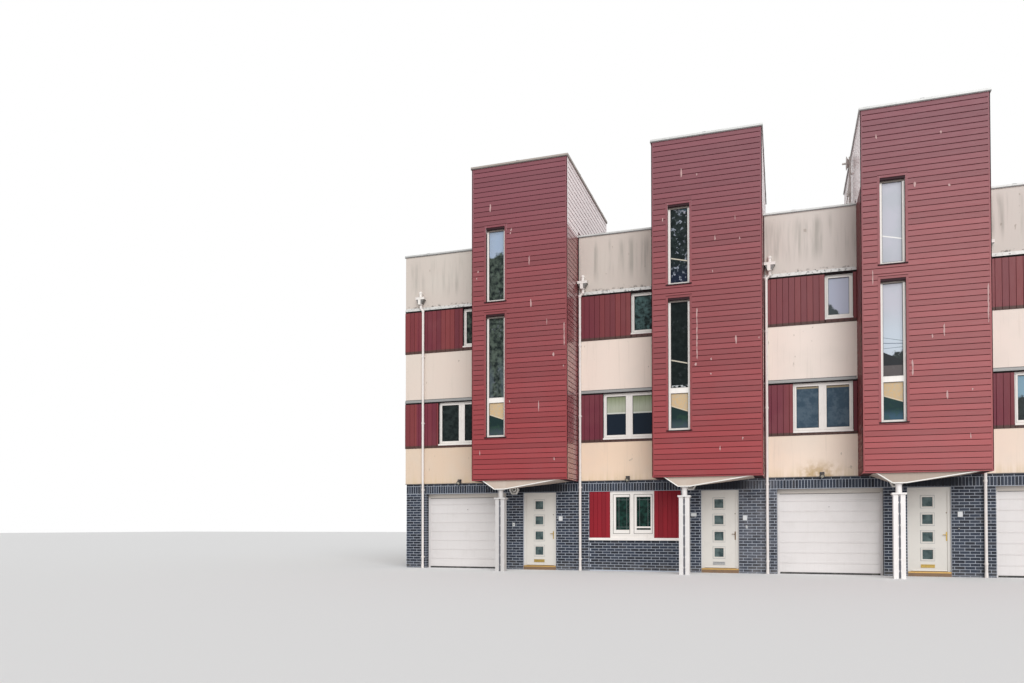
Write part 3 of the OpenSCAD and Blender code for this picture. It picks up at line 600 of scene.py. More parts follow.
# name: colour, roughness, then the values that differ from makePlain's own
plainSet = {
    "frame": ((0.83, 0.79, 0.75), 0.32, {"drips": 0.10, "extra": slitHeadShade}),
    "coping": ((0.50, 0.50, 0.49), 0.45, {"dirt": 0.35, "scale": 3.0, "metallic": 0.3, "drips": 0.25,
                                          "dirtColour": (0.22, 0.22, 0.21), "extra": copingShade}),
    "flashing": ((0.60, 0.59, 0.57), 0.5, {"dirt": 0.4, "metallic": 0.25, "dirtColour": (0.24, 0.23, 0.21),
                                           "extra": flashingShade}),
    "concrete": ((0.42, 0.41, 0.38), 0.85, {"dirt": 0.3, "scale": 2.0, "bump": (40.0, 0.3)}),
    "membrane": ((0.12, 0.125, 0.13), 0.7, {"dirt": 0.5, "scale": 1.2, "bump": (120.0, 0.4),
                                            "dirtColour": (0.24, 0.23, 0.21)}),
    "soffit": ((0.50, 0.405, 0.335), 0.6, {"dirt": 0.3, "scale": 3.0, "drips": 0.15,
                                           "dirtColour": (0.62, 0.58, 0.52), "extra": soffitBoards}),
    "edgeTrim": ((0.84, 0.82, 0.78), 0.45, {"dirt": 0.2, "drips": 0.12}),
    "steel": ((0.68, 0.655, 0.645), 0.35, {"dirt": 0.22, "scale": 5.0, "drips": 0.18,
                                           "dirtColour": (0.46, 0.42, 0.38), "extra": columnShade}),
    "garage": ((0.67, 0.64, 0.63), 0.38, {"dirt": 0.10, "scale": 2.5, "bump": (230.0, 0.35),
                                          "drips": 0.06, "extra": garageShade}),
    "pipe": ((0.78, 0.73, 0.70), 0.35, {"dirt": 0.18, "scale": 4.0, "drips": 0.15}),
    "hopper": ((0.80, 0.76, 0.72), 0.35, {"dirt": 0.18, "scale": 4.0, "extra": hopperShade}),
    "door": ((0.66, 0.63, 0.585), 0.36, {"dirt": 0.10, "scale": 4.0, "bump": (120.0, 0.15)}),
    # grey-blue joints round the door mouldings, darkened as painted shade
    "doorEdge": ((0.25, 0.29, 0.31), 0.36, {"dirt": 0.2, "scale": 4.0}),
    "backDoor": ((0.76, 0.76, 0.74), 0.36, {"scale": 4.0}),
    "brass": ((0.50, 0.345, 0.10), 0.28, {"dirt": 0.25, "scale": 20.0, "bump": (200.0, 0.1),
                                          "metallic": 1.0, "dirtColour": (0.30, 0.22, 0.10),
                                          "extra": furnitureMetal}),
    "step": ((0.20, 0.12, 0.065), 0.6, {"dirt": 0.5, "scale": 8.0, "bump": (30.0, 0.3),
                                        "dirtColour": (0.10, 0.08, 0.06)}),
    "stepBrass": ((0.58, 0.36, 0.12), 0.4, {"dirt": 0.4, "scale": 18.0, "metallic": 0.8,
                                            "dirtColour": (0.22, 0.16, 0.08)}),
    "rubber": ((0.02, 0.02, 0.02), 0.6, {"dirt": 0.3}),
    "lampDark": ((0.028, 0.028, 0.032), 0.4, {"dirt": 0.3}),
    "lampPale": ((0.88, 0.86, 0.82), 0.4, {"dirt": 0.3, "drips": 0.2}),
    "lampGlass": ((0.50, 0.46, 0.36), 0.2, {"dirt": 0.3}),
    "galvanised": ((0.62, 0.58, 0.55), 0.5, {"dirt": 0.5, "scale": 11.0, "metallic": 0.1,
                                             "dirtColour": (0.24, 0.16, 0.12)}),
    "plate": ((0.66, 0.67, 0.68), 0.3, {"dirt": 0.08}),
    "leadSheet": ((0.26, 0.265, 0.275), 0.5, {"dirt": 0.5, "scale": 5.0, "metallic": 0.2,
                                              "dirtColour": (0.42, 0.43, 0.43)}),
    "lead": ((0.20, 0.21, 0.22), 0.5, {"dirt": 0.2, "metallic": 0.3}),
    # painted shade of the rebates round the sashes in the filled opening
    "joint": ((0.17, 0.155, 0.14), 0.6, {"dirt": 0.3}),
    # painted shade in the slots between the columns' channels
    "slot": ((0.095, 0.098, 0.120), 0.5, {"dirt": 0.3, "dirtColour": (0.24, 0.22, 0.21)}),
    "chalk": ((0.49, 0.32, 0.31), 0.8, {"dirt": 0.5, "scale": 30.0, "dirtColour": (0.42, 0.20, 0.20)}),
    # near black: painted shade in the heads of the tower windows, under their sills and beside the towers
    "darkTrim": ((0.026, 0.007, 0.010), 0.6, {"dirt": 0.3, "dirtColour": (0.05, 0.02, 0.022),
                                              "specular": 0.2}),
}
for name, (colour, roughness, values) in plainSet.items():
    looks[name] = makePlain(name, colour, roughness, **values)

finishes = {
    "render": ["end_walls", "render_walls", "parapets"],
    "mortar": ["brick_end_walls", "brick_walls", "brick_head_course", "under_window_walls"],
    "bandBacking": ["board_walls"],
    "towerBacking": ["tower_fronts", "tower_cheeks", "tower_upper_sides", "tower_backs"],
    "coping": ["parapet_copings", "tower_copings"],
    "flashing": ["flashings"],
    "galvanised": ["aerial_mast"],
    "frame": ["window_frames", "tower_windows"],
    "glass": ["window_glass", "tower_glass"],
    "soffit": ["soffits"],
    "steel": ["columns"],
    "garage": ["garage_frames", "garage_doors"],
    "step": ["thresholds"],
    "backDoor": ["back_doors"],
    "pipe": ["downpipes"],
    "hopper": ["hoppers"],
    "lampDark": ["wall_lights"],
    "lampPale": ["porch_lamps"],
    "concrete": ["ground_floor", "first_floor", "second_floor", "party_walls", "tower_floors"],
    "membrane": ["main_roof", "tower_roofs"],
    "door": ["door_frames", "door_hinges"] + [f"front_door_{n}" for n in range(1, 5)],
    "doorGlass": [f"door_glass_{n}" for n in range(1, 5)],
    "brass": [f"door_furniture_{n}" for n in range(1, 5)],
}
for look, names in finishes.items():
    for name in names:
        nodes[name].data.materials.clear()
        nodes[name].data.materials.append(looks[look])
print("materials made")


# a wall's face, on which u runs along, d goes inwards and z goes up
class Wall:
    def __init__(self, x, y, along, inward):
        self.origin, self.along, self.inward = Vector((x, y, 0)), Vector(along), Vector(inward)
        self.flip = self.along.cross(self.inward).z < 0

    def spot(self, u, d, z):
        return self.origin + self.along * u + self.inward * d + Vector((0, 0, z))


def frontOf(i):
    return Wall(houseX(i), row["frontY"], (1, 0, 0), (0, 1, 0))


def backOf(i):
    return Wall(houseX(i), row["backY"], (1, 0, 0), (0, -1, 0))


def rearOf(i):
    # the back face of a tower, over the main roof
    return Wall(houseX(i), row["frontY"] + row["towerRear"], (1, 0, 0), (0, -1, 0))


def sideAt(x, inward, start=0.0):
    # a face that runs from the front to the back
    return Wall(x, row["frontY"] + start, (0, 1, 0), (inward, 0, 0))


def towerSides(i):
    # the two sides of a tower, and whether each is the free one at the end of the row
    return [(sideAt(houseX(i) + row["towerLeft"], 1), False),
            (sideAt(houseX(i) + row["towerRight"], -1), i == lastHouse)]


def leftEnd(i, joint=0.0):
    # a front or back starts at the row's margin, or at the joint with the house before it
    return joint if i else -row["leftMargin"]


def grown(span, by):
    return (span[0] - by, span[1] + by)


def spans(low, high, gaps, least=0.012):
    # what is left of low..high when the gaps are taken out
    left, at = [], low
    for a, b in sorted(gaps):
        if a > at:
            left.append((at, min(a, high)))
        at = max(at, b)
    if at < high:
        left.append((at, high))
    return [(a, b) for a, b in left if b - a > least]


# corners of a box by their place in a list, face by face
boxFaces = [(0, 1, 3, 2), (4, 6, 7, 5), (0, 4, 5, 1), (2, 3, 7, 6), (0, 2, 6, 4), (1, 5, 7, 3)]
# degrees: shading is smooth under the first angle, and edges over the second one are bevelled
edgeSet = {"smooth": 38, "bevel": 40, "segments": 2}


# the faces of one piece, put together from boxes, bars and rods on walls
class Piece:
    def __init__(self):
        self.verts, self.faces = [], []

    def add(self, wall, points, faces):
        first = len(self.verts)
        self.verts += [wall.spot(*p) for p in points]
        self.faces += [[first + k for k in (face[::-1] if wall.flip else face)] for face in faces]

    def box(self, wall, u, d, z):
        self.add(wall, [(a, b, c) for a in u for b in d for c in z], boxFaces)

    def bar(self, wall, outline, ends, upright=False):
        # an outline in (d, z) carried along u, or in (u, d) carried up z
        area = sum(a[0] * b[1] - b[0] * a[1] for a, b in zip(outline, outline[1:] + outline[:1]))
        ring = outline if area > 0 else outline[::-1]
        n = len(ring)
        points = [(*p, e) if upright else (e, *p) for e in ends for p in ring]
        sides = [(k, (k + 1) % n, n + (k + 1) % n, n + k) for k in range(n)]
        self.add(wall, points, sides + [tuple(range(n))[::-1], tuple(range(n, 2 * n))])

    def rod(self, wall, u, d, z, radius, sides=12, far=None):
        # a round bar or cone; each of u, d and z is a number, or a pair with its value at the two ends
        a, b = (wall.spot(*end) for end in zip(*(v if isinstance(v, tuple) else (v, v) for v in (u, d, z))))
        along = (b - a).normalized()
        across = along.cross(Vector((0.3, 0.5, 0.81))).normalized()
        third = along.cross(across)
        ring = [len(self.verts) + k for k in range(sides)]
        for centre, r in ((a, radius), (b, radius if far is None else far)):
            for k in range(sides):
                turn = 2 * math.pi * k / sides
                self.verts.append(centre + (across * math.cos(turn) + third * math.sin(turn)) * r)
        self.faces += [[k, m, m + sides, k + sides] for k, m in zip(ring, ring[1:] + ring[:1])]
        self.faces += [ring[::-1], [k + sides for k in ring]]

    def ring(self, wall, outer, inner, d):
        # four boxes between two rectangles in (u, z), the inner one given as such or as the boxes' width
        u, z = outer
        iu, iz = inner if isinstance(inner, tuple) else (grown(u, -inner), grown(z, -inner))
        sides = [((u[0], iu[0]), z), ((iu[1], u[1]), z), (iu, (z[0], iz[0])), (iu, (iz[1], z[1]))]
        for across, up in sides:
            self.box(wall, across, d, up)

    def finish(self, name, look, body="house_row", bevel=0.0, smooth=False):
        mesh = bpy.data.meshes.new(name)
        mesh.from_pydata(self.verts, [], self.faces)
        mesh.validate()
        mesh.update()
        thing = bpy.data.objects.new(name, mesh)
        scene.collection.objects.link(thing)
        mesh.materials.append(looks[look])
        if smooth:
            mesh.shade_smooth()
            mesh.set_sharp_from_angle(angle=math.radians(edgeSet["smooth"]))
        if bevel:
            soft = thing.modifiers.new("edges", "BEVEL")
            soft.width = bevel
            soft.segments = edgeSet["segments"]
            soft.limit_method = "ANGLE"
            soft.angle_limit = math.radians(edgeSet["bevel"])
        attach(thing, body)
        return thing


def newPieces(count):
    return [Piece() for k in range(count)]


# bricks
brickSet = {"length": 0.212, "height": 0.062, "joint": 0.013, "proud": 0.007, "edge": 0.0025,
            "uneven": 0.0012, "root": 0.004, "leastCourse": 0.03, "leastCut": 0.04, "cheek": 0.175,
            "soldierFoot": 2.215, "soldierTop": 2.44, "seed": 7}
brickDraw = random.Random(brickSet["seed"])


def putBrick(piece, wall, u, z, root):
    edge, joint, uneven = brickSet["edge"], brickSet["joint"] / 2, brickSet["uneven"]
    out = root - brickSet["proud"] + brickDraw.uniform(-uneven, uneven)
    points = []
    for d, shrink in ((root + brickSet["root"], joint), (out + edge, joint), (out, edge + joint)):
        (a, b), (low, high) = grown(u, -shrink), grown(z, -shrink)
        points += [(a, d, low), (b, d, low), (b, d, high), (a, d, high)]
    sides = [(r + k, r + (k + 1) % 4, r + 4 + (k + 1) % 4, r + 4 + k) for r in (0, 4) for k in range(4)]
    piece.add(wall, points, [(8, 9, 10, 11)] + sides)


def evenBricks(piece, wall, span, pitch, z, root):
    count = max(1, round((span[1] - span[0]) / pitch))
    wide = (span[1] - span[0]) / count
    for k in range(count):
        putBrick(piece, wall, (span[0] + k * wide, span[0] + (k + 1) * wide), z, root)


def noGaps(z):
    return []


def layBricks(piece, wall, low, high, root, gapsAt=noGaps, top=None):
    # running bond up to the head, a soldier course over it, and a cut course on top
    step, length = brickSet["height"] + brickSet["joint"], brickSet["length"] + brickSet["joint"]
    course, z1 = 0, top or row["brickHead"]
    while z1 > brickSet["leastCourse"]:
        z0 = max(z1 - step, 0.0)
        for a, b in spans(low, high, gapsAt((z0 + z1) / 2)):
            k = math.floor(a / length) - 1 + 0.5 * (course % 2)
            while k * length < b:
                u = (max(k * length, a), min((k + 1) * length, b))
                if u[1] - u[0] > brickSet["leastCut"]:
                    putBrick(piece, wall, u, (z0, z1), root)
                k += 1
        z1 = z0
        course += 1
    if not top:
        soldierTop = brickSet["soldierTop"]
        for span in spans(low, high, gapsAt(soldierTop)):
            evenBricks(piece, wall, span, step, (brickSet["soldierFoot"], soldierTop), root)
            evenBricks(piece, wall, span, length, (soldierTop, row["brickTop"] + 0.001), root)


def frontGaps(z):
    return openings(z, ("door", "garage"))


def backGaps(z):
    return openings(z, ("door", "window1") if z > row["infillBrick"] else ("door",))


def openings(z, names):
    if z > row["brickHead"]:
        return []
    return [tuple(row["pitch"] * i + u for u in row[name]) for i in houses for name in names]


inset, depth = row["brickIn"], row["backY"] - row["frontY"]
rowSpan = grown((-row["leftMargin"], row["pitch"] * row["houses"]), -inset)
frontBricks, backBricks, endBricks = newPieces(3)
layBricks(frontBricks, frontOf(0), *rowSpan, inset, frontGaps)
for i in houses:
    # the cheeks of each opening, turned in to the frames
    deep = row["infillIn"] if i == row["filled"] else brickSet["cheek"]
    for edge, inward in zip(row["garage"], (-1, 1)):
        cheek = sideAt(houseX(i) + edge, inward, inset)
        layBricks(frontBricks, cheek, 0.0, deep, 0.0, top=row["brickHead"])
infillRoot, filledFront = row["infillIn"] + inset, frontOf(row["filled"])
layBricks(frontBricks, filledFront, *row["garage"], infillRoot, top=row["infillBrick"])
layBricks(backBricks, backOf(0), *rowSpan, inset, backGaps)
for x, inward in ((rowLeft, 1), (rowRight, -1)):
    layBricks(endBricks, sideAt(x, inward), inset, depth - inset, inset)
frontBricks.finish("front_bricks", "brick")
backBricks.finish("back_bricks", "brick")
endBricks.finish("end_bricks", "brick")
print("bricks laid")


# level boards on the towers
boardSet = {"pitch": 0.138, "groove": 0.012, "thick": 0.018, "trim": 0.048, "corner": 0.065,
            "casing": 0.055, "casingThick": 0.022, "head": 0.036, "cover": 0.018, "foot": 2.53,
            "noseOut": 0.040, "noseSide": 0.045, "noseHigh": 0.028, "strip": 0.026, "lead": 0.006,
            "seam": 0.325, "leastHigh": 0.03, "recess": 0.070, "overDeck": 0.12, "trimFoot": 0.10,
            "past": 0.03, "stripOut": 0.014, "stripFoot": 2.515}


def levelBoard(piece, wall, u, face, z0, z1):
    out, foot = face - boardSet["thick"], z0 + boardSet["groove"]
    outline = [(face, foot), (out + 0.003, foot), (out, foot + 0.004), (out + 0.002, z1 - 0.006),
               (out + 0.006, z1), (face, z1)]
    piece.bar(wall, outline, u)


def boardWall(piece, wall, u, face, z, cutOut=()):
    pitch = boardSet["pitch"]
    for k in range(math.ceil((z[1] - z[0] - boardSet["leastHigh"]) / pitch)):
        z0, z1 = z[0] + k * pitch, min(z[0] + (k + 1) * pitch, z[1])
        cuts = [(ou, oz) for ou, oz in cutOut if oz[0] < z1 - 0.002 and oz[1] > z0 + 0.002]
        for span in spans(*u, [ou for ou, oz in cuts]):
            levelBoard(piece, wall, span, face, z0, z1)
        for ou, oz in cuts:
            for a, b in ((z0, oz[0]), (oz[1], z1)):
                if b - a > boardSet["leastHigh"]:
                    levelBoard(piece, wall, ou, face, a, b)


def boardFrom(height):
    # the first board that starts at or over a height
    foot, pitch = boardSet["foot"], boardSet["pitch"]
    return foot + pitch * math.ceil((height - foot) / pitch)


def slitCut(z):
    # what a slit window with its casing and sill takes out of the boards
    over = boardSet["head"] + boardSet["casing"]
    return grown(row["slitX"], boardSet["casing"]), (z[0] - boardSet["noseHigh"], z[1] + over)


def dressSlit(trims, wall, face, z):
    u, casing, top = row["slitX"], boardSet["casing"], z[1] + boardSet["head"]
    outer = (grown(u, casing), (z[0], top + casing))
    trims.ring(wall, outer, (u, (z[0], top)), (face - boardSet["casingThick"], face))
    # painted shade: dark linings at the head of the recess stand for its deep shade
    cover, sill = z[1] - boardSet["cover"], (z[0] - boardSet["noseHigh"], z[0] - 0.001)
    noses.box(wall, u, (face - 0.004, face + boardSet["recess"]), (cover, z[1] + 0.002))
    noses.box(wall, u, (face - 0.006, face - 0.001), (cover, top))
    # the sill is maroon, painted near black for the shade under its nose
    sillIn = (face - boardSet["noseOut"], face + boardSet["recess"])
    noses.box(wall, grown(u, boardSet["noseSide"]), sillIn, sill)


def dressTower(i):
    boards, trims = newPieces(2)
    front, rear, face, back = frontOf(i), rearOf(i), row["towerFront"], row["towerRear"]
    thick, trim, corner, wall = boardSet["thick"], boardSet["trim"], boardSet["corner"], row["wall"]
    low, high = grown((row["towerLeft"], row["towerRight"]), thick)
    foot, top, rearFoot = boardSet["foot"], row["towerWallTop"], row["roof"] + boardSet["trimFoot"]
    cuts = [slitCut(row["slitLow"]), slitCut(row["slitHigh"])]
    inner, rearZ = (low + trim, high - trim), (boardFrom(rearFoot), top)
    boardWall(boards, front, inner, face, (foot, top), cuts)
    boardWall(boards, rear, inner, 0.0, rearZ, [slitCut(row["backSlit"])])
    for u in ((low, inner[0]), (inner[1], high)):
        trims.box(front, u, (face - thick, face), (foot, top))
        trims.box(rear, u, (-thick, 0), (rearFoot, top))
    upstands.bar(rear, leadFold, grown((row["towerLeft"], row["towerRight"]), boardSet["lead"]))
    dressSlit(trims, front, face, row["slitLow"])
    dressSlit(trims, front, face, row["slitHigh"])
    dressSlit(trims, rear, 0.0, row["backSlit"])
    # the two sides, from the wall's face out and above the roof back to the rear
    overParapet, past = boardFrom(row["parapetTop"]), wall + boardSet["past"]
    overRoof = boardFrom(row["roof"] + boardSet["overDeck"])
    for side, free in towerSides(i):
        stretches = [((face + corner, 0.0), (foot, top)), ((0.0, back - corner), (overParapet, top)),
                     ((past, back - corner), (overRoof, overParapet))]
        if free:
            stretches += [((0.0, wall), (foot, overRoof)), ((0.0, past), (overRoof, overParapet))]
        for u, z in stretches:
            boardWall(boards, side, u, 0.0, z)
        trims.box(side, (face - thick, face + corner), (-thick, 0), (foot, top))
        trims.box(side, (back - corner, back + thick), (-thick, 0), (rearFoot, top))
        upstands.bar(side, leadFold, (wall if free else boardSet["seam"], back + boardSet["lead"]))
    boards.finish(f"tower_boards_{i + 1}", "towerBoards")
    trims.finish(f"tower_trims_{i + 1}", "towerTrim", bevel=0.002)


noses, upstands = newPieces(2)
leadFold = [(d, row["roof"] + z) for d, z in ((0, 0.001), (-0.010, 0.001), (-0.006, 0.012), (-0.006, 0.196),
                                              (-0.012, 0.200), (-0.012, 0.206), (0, 0.212))]
for i in houses:
    dressTower(i)
    if i < lastHouse:
        # a maroon strip where the tower's side meets the next house's wall, painted dark for the shade in
        # that corner
        z = (boardSet["stripFoot"], row["copingFoot"])
        noses.box(frontOf(i + 1), (0.0, boardSet["strip"]), (-boardSet["stripOut"], 0.0), z)
noses.finish("slit_sills", "darkTrim", bevel=0.002)
upstands.finish("tower_upstands", "leadSheet")

# pale runs and scrapes on the tower boards: short ones where a seeded draw puts them
markSet = {"seed": 20, "each": 17, "x": (2.38, 4.92), "z": (3.0, 10.5), "shortest": 0.05, "spread": 0.35,
           "wide": (0.024, 0.055), "longWide": 0.030, "out": 0.0205, "step": 0.06, "off": 0.12,
           "half": (0.2, 0.55), "pointed": 0.35, "shift": 0.15}
# long ones: house, x, and the boards counted down from the lower window's head to their top and foot
longRuns = {"firstTower": (0, 4.91, 2.5, 7.0), "secondTower": (1, 3.40, 2.0, 11.5),
            "thirdTower": (2, 4.92, 2.0, 8.5)}
marks = Piece()


def paleRun(i, x, z0, z1, wide, draw):
    steps = max(3, round((z1 - z0) / markSet["step"]))
    out, ribbon = row["towerFront"] - markSet["out"], []
    for k in range(steps + 1):
        # the two ends are pointed
        half = wide * draw.uniform(*markSet["half"]) * (markSet["pointed"] if k in (0, steps) else 1.0)
        shift = wide * draw.uniform(-markSet["shift"], markSet["shift"])
        z = z0 + (z1 - z0) * k / steps
        ribbon += [(x + shift - half, out, z), (x + shift + half, out, z)]
    marks.add(frontOf(i), ribbon, [(2 * k, 2 * k + 1, 2 * k + 3, 2 * k + 2) for k in range(steps)])


def overSlit(x, z0, z1):
    # whether a mark would run over one of the tower's windows
    off = markSet["off"]
    across = grown(row["slitX"], off)
    level = any(z1 > a - off and z0 < b + off for a, b in (row["slitLow"], row["slitHigh"]))
    return across[0] < x < across[1] and level


for i in houses:
    draw = random.Random(markSet["seed"] + i)
    for house, x, first, last in longRuns.values():
        if house == i:
            head, pitch = row["slitLow"][1], boardSet["pitch"]
            paleRun(i, x, head - last * pitch, head - first * pitch, markSet["longWide"], draw)
    for k in range(markSet["each"]):
        x, z0, wide = (draw.uniform(*markSet[name]) for name in ("x", "z", "wide"))
        z1 = z0 + markSet["shortest"] + markSet["spread"] * draw.random() ** 2
        if not overSlit(x, z0, z1):
            paleRun(i, x, z0, z1, wide, draw)
marks.finish("tower_marks", "chalk")
print("tower boards fixed")


# upright boards in the red bands, front and back, and in the filled opening
uprightSet = {"pitch": 0.144, "groove": 0.006, "thick": 0.012, "edge": 0.004, "infillPitch": 0.118,
              "infillGroove": 0.003, "topGap": 0.055, "corner": 0.014, "turn": 0.30,
              "leastWide": 0.02, "leastHigh": 0.03}


def leftByWindow(part, u, z):
    # what is left of a board (a, b, z0, z1) beside, under and over a window
    a, b, z0, z1 = part
    if u[1] <= a + 0.002 or u[0] >= b - 0.002:
        return [part]
    low, high = max(a, u[0]), min(b, u[1])
    return [(a, u[0], z0, z1), (u[1], b, z0, z1), (low, high, z0, z[0]), (low, high, z[1], z1)]


def uprightBoards(piece, wall, u, z, windows=(), face=0.0, pitch="pitch", groove="groove"):
    gap, edge, out = uprightSet[groove] / 2, uprightSet["edge"], face - uprightSet["thick"]
    leastWide, leastHigh = uprightSet["leastWide"], uprightSet["leastHigh"]
    count = max(1, round((u[1] - u[0]) / uprightSet[pitch]))
    wide = (u[1] - u[0]) / count
    for k in range(count):
        parts = [(u[0] + k * wide, u[0] + (k + 1) * wide, *z)]
        for window in windows:
            cut = [rest for part in parts for rest in leftByWindow(part, *window)]
            parts = [p for p in cut if p[1] - p[0] > leastWide and p[3] - p[2] > leastHigh]
        for a, b, z0, z1 in parts:
            left, right = a + gap, b - gap
            outline = [(left, face), (left, out + edge), (left + edge, out), (right - edge, out),
                       (right, out + edge), (right, face)]
            piece.bar(wall, outline, (z0, z1), upright=True)


bands = {"front": Piece(), "back": Piece()}
for i in houses:
    for (z0, z1), window in zip(row["bands"], ("window1", "window2")):
        z = (z0 + 0.002, z1 - uprightSet["topGap"])
        cuts = [(row[name], (row[window + "Z"][0], z1)) for name in (window, window + "b")]
        uprightBoards(bands["front"], frontOf(i), (leftEnd(i, boardSet["strip"]), row["bay"]), z, cuts[:1])
        uprightBoards(bands["back"], backOf(i), (leftEnd(i), row["pitch"]), z, cuts)
# the ends of the row, and where the front's and the back's boards turn round them
frontTurn, backTurn = (0.0, uprightSet["turn"]), (depth - uprightSet["turn"], depth)
rowEnds = [(sideAt(rowLeft, 1), [frontTurn, backTurn]), (sideAt(rowRight, -1), [backTurn])]
for end, turns in rowEnds:
    for u in turns:
        piece, out = bands["front" if u == frontTurn else "back"], uprightSet["corner"]
        for z0, z1 in row["bands"]:
            z = (z0 + 0.002, z1 - uprightSet["topGap"])
            uprightBoards(piece, end, u, z)
            piece.box(end, (u[0] - out, u[0]) if u == frontTurn else (u[1], u[1] + out), (-out, 0.004), z)
for name, piece in bands.items():
    piece.finish(f"{name}_band_boards", "bandBoards")

infill, infillZ = Piece(), (row["infillBrick"] + 0.07, row["brickHead"] - 0.003)
left, right = grown(row["garage"], -0.004)
for u in ((left, row["infillWindow"][0]), (row["infillWindow"][1], right)):
    uprightBoards(infill, filledFront, u, infillZ, (), row["infillIn"], "infillPitch", "infillGroove")
infill.finish("infill_boards", "infillBoards")

# folded metal covers over the flashings, with lapped joints
coverSet = {"high": 0.080, "lip": 0.0245, "lap": 1.2, "lapWide": 0.05, "lapEnd": 0.3}
covers, lip, high = Piece(), coverSet["lip"], coverSet["high"]
bandTops = [top for foot, top in row["bands"]]
for i in houses:
    left = leftEnd(i, boardSet["strip"])
    for wall, right in ((frontOf(i), row["bay"] - 0.018), (backOf(i), row["pitch"] - 0.004)):
        for z in bandTops:
            fold = [(0, z + 0.012), (0.002 - lip, z + 0.012), (0.002 - lip, z - 0.010), (-lip, z - 0.010),
                    (-lip, z + 0.018), (-0.004, z + high), (0, z + high)]
            lap = [(-lip - 0.0015, z - 0.010), (-lip - 0.0015, z + 0.019), (-0.0055, z + high),
                   (-lip + 0.001, z + 0.012)]
            covers.bar(wall, fold, (left, right))
            at = left + coverSet["lap"]
            while at < right - coverSet["lapEnd"]:
                covers.bar(wall, lap, (at, at + coverSet["lapWide"]))
                at += coverSet["lap"]
for end, turns in rowEnds:
    for u in turns:
        for z in bandTops:
            fold = [(0, z - 0.052), (-0.018, z - 0.052), (-lip + 0.002, z - 0.010), (-lip, z + 0.018),
                    (-0.004, z + high), (0, z + high)]
            covers.bar(end, fold, u)
    # bead where the parapet's render starts
    z = bandTops[1]
    bead = [(0, z - 0.02), (-0.010, z - 0.02), (-0.010, z - 0.004), (0, z + 0.012)]
    covers.bar(end, bead, (frontTurn[1] + 0.001, backTurn[0] - 0.001))
covers.finish("flashing_covers", "flashing")
print("band boards fixed")


# trims at the towers' feet and along the folded soffits
soffitSet = {"fold": [(2.54, 2.5), (2.90, 2.25), (3.20, 2.25), (4.75, 2.5)], "thick": 0.016, "high": 0.026,
             "front": -1.15, "feet": (2.498, 2.528)}
edges, feet = newPieces(2)
for i in houses:
    front, face, thick = frontOf(i), row["towerFront"], boardSet["thick"]
    across = grown((row["towerLeft"], row["towerRight"]), thick)
    feet.box(front, across, (face - thick, face + 0.005), soffitSet["feet"])
    for side, free in towerSides(i):
        feet.box(side, (face, row["wall"] if free else 0.0), (-thick, 0.005), soffitSet["feet"])
    for (xa, za), (xb, zb) in zip(soffitSet["fold"], soffitSet["fold"][1:]):
        along, high, at = Vector((xb - xa, 0, zb - za)).normalized(), soffitSet["high"], soffitSet["front"]
        dx, dz = along.z * high, along.x * high
        corners = [(xa, za), (xb, zb), (xb - dx, zb + dz), (xa - dx, za + dz)]
        points = [(x, d, z) for d in (at - soffitSet["thick"], at + 0.001) for x, z in corners]
        rims = [(0, 4, 5, 1), (1, 5, 6, 2), (2, 6, 7, 3), (3, 7, 4, 0)]
        edges.add(front, points, [(0, 1, 2, 3), (7, 6, 5, 4)] + rims)
edges.finish("soffit_edges", "edgeTrim", bevel=0.002)
feet.finish("tower_feet", "towerTrim", bevel=0.002)


# windows: sashes, black gaskets and double panes in every light
windowSet = {"side": 0.075, "foot": 0.10, "mullion": 0.115, "deep": 0.09, "proud": 0.012, "over": 0.030,
             "inner": 0.010, "middle": 0.036, "low": 0.028, "gasket": 0.007, "paneIn": 0.026, "sheet": 0.004,
             "gap": 0.012, "edge": 0.008, "bed": 0.012, "slitSide": 0.05, "slitDeep": 0.08,
             "slitProud": 0.005, "slitOver": 0.004}
infillSet = {"glass": [(1.055, 1.43), (1.63, 2.015)], "z": (1.14, 2.05), "sashZ": (1.03, 2.125),
             "sash": [(0.972, 1.448), (1.552, 2.066)], "lead": 0.075, "leadWide": 0.006, "seam": 0.014,
             "rail": (1.19, 1.235)}
# each light: wall, (u, z) of the opening, depth of the frame's face, and the glass seen in it
lights = {"window": [], "tower": []}


def windowLights(u, z, count):
    side, mullion = windowSet["side"], windowSet["mullion"]
    wide = (u[1] - u[0] - 2 * side - mullion * (count - 1)) / count
    starts = [u[0] + side + k * (wide + mullion) for k in range(count)]
    return [((a, a + wide), (z[0] + windowSet["foot"], z[1] - side)) for a in starts]


def addWindow(wall, u, z, count):
    # the sashes' stiles beside a mullion are wider
    inner, middle = windowSet["inner"], windowSet["middle"]
    for k, light in enumerate(windowLights(u, z, count)):
        (a, b), (z0, z1) = light
        across = (a + (middle if k > 0 else inner), b - (middle if k < count - 1 else inner))
        seen = (across, (z0 + windowSet["low"], z1 - inner))
        lights["window"].append((wall, light, windowSet["deep"], seen))


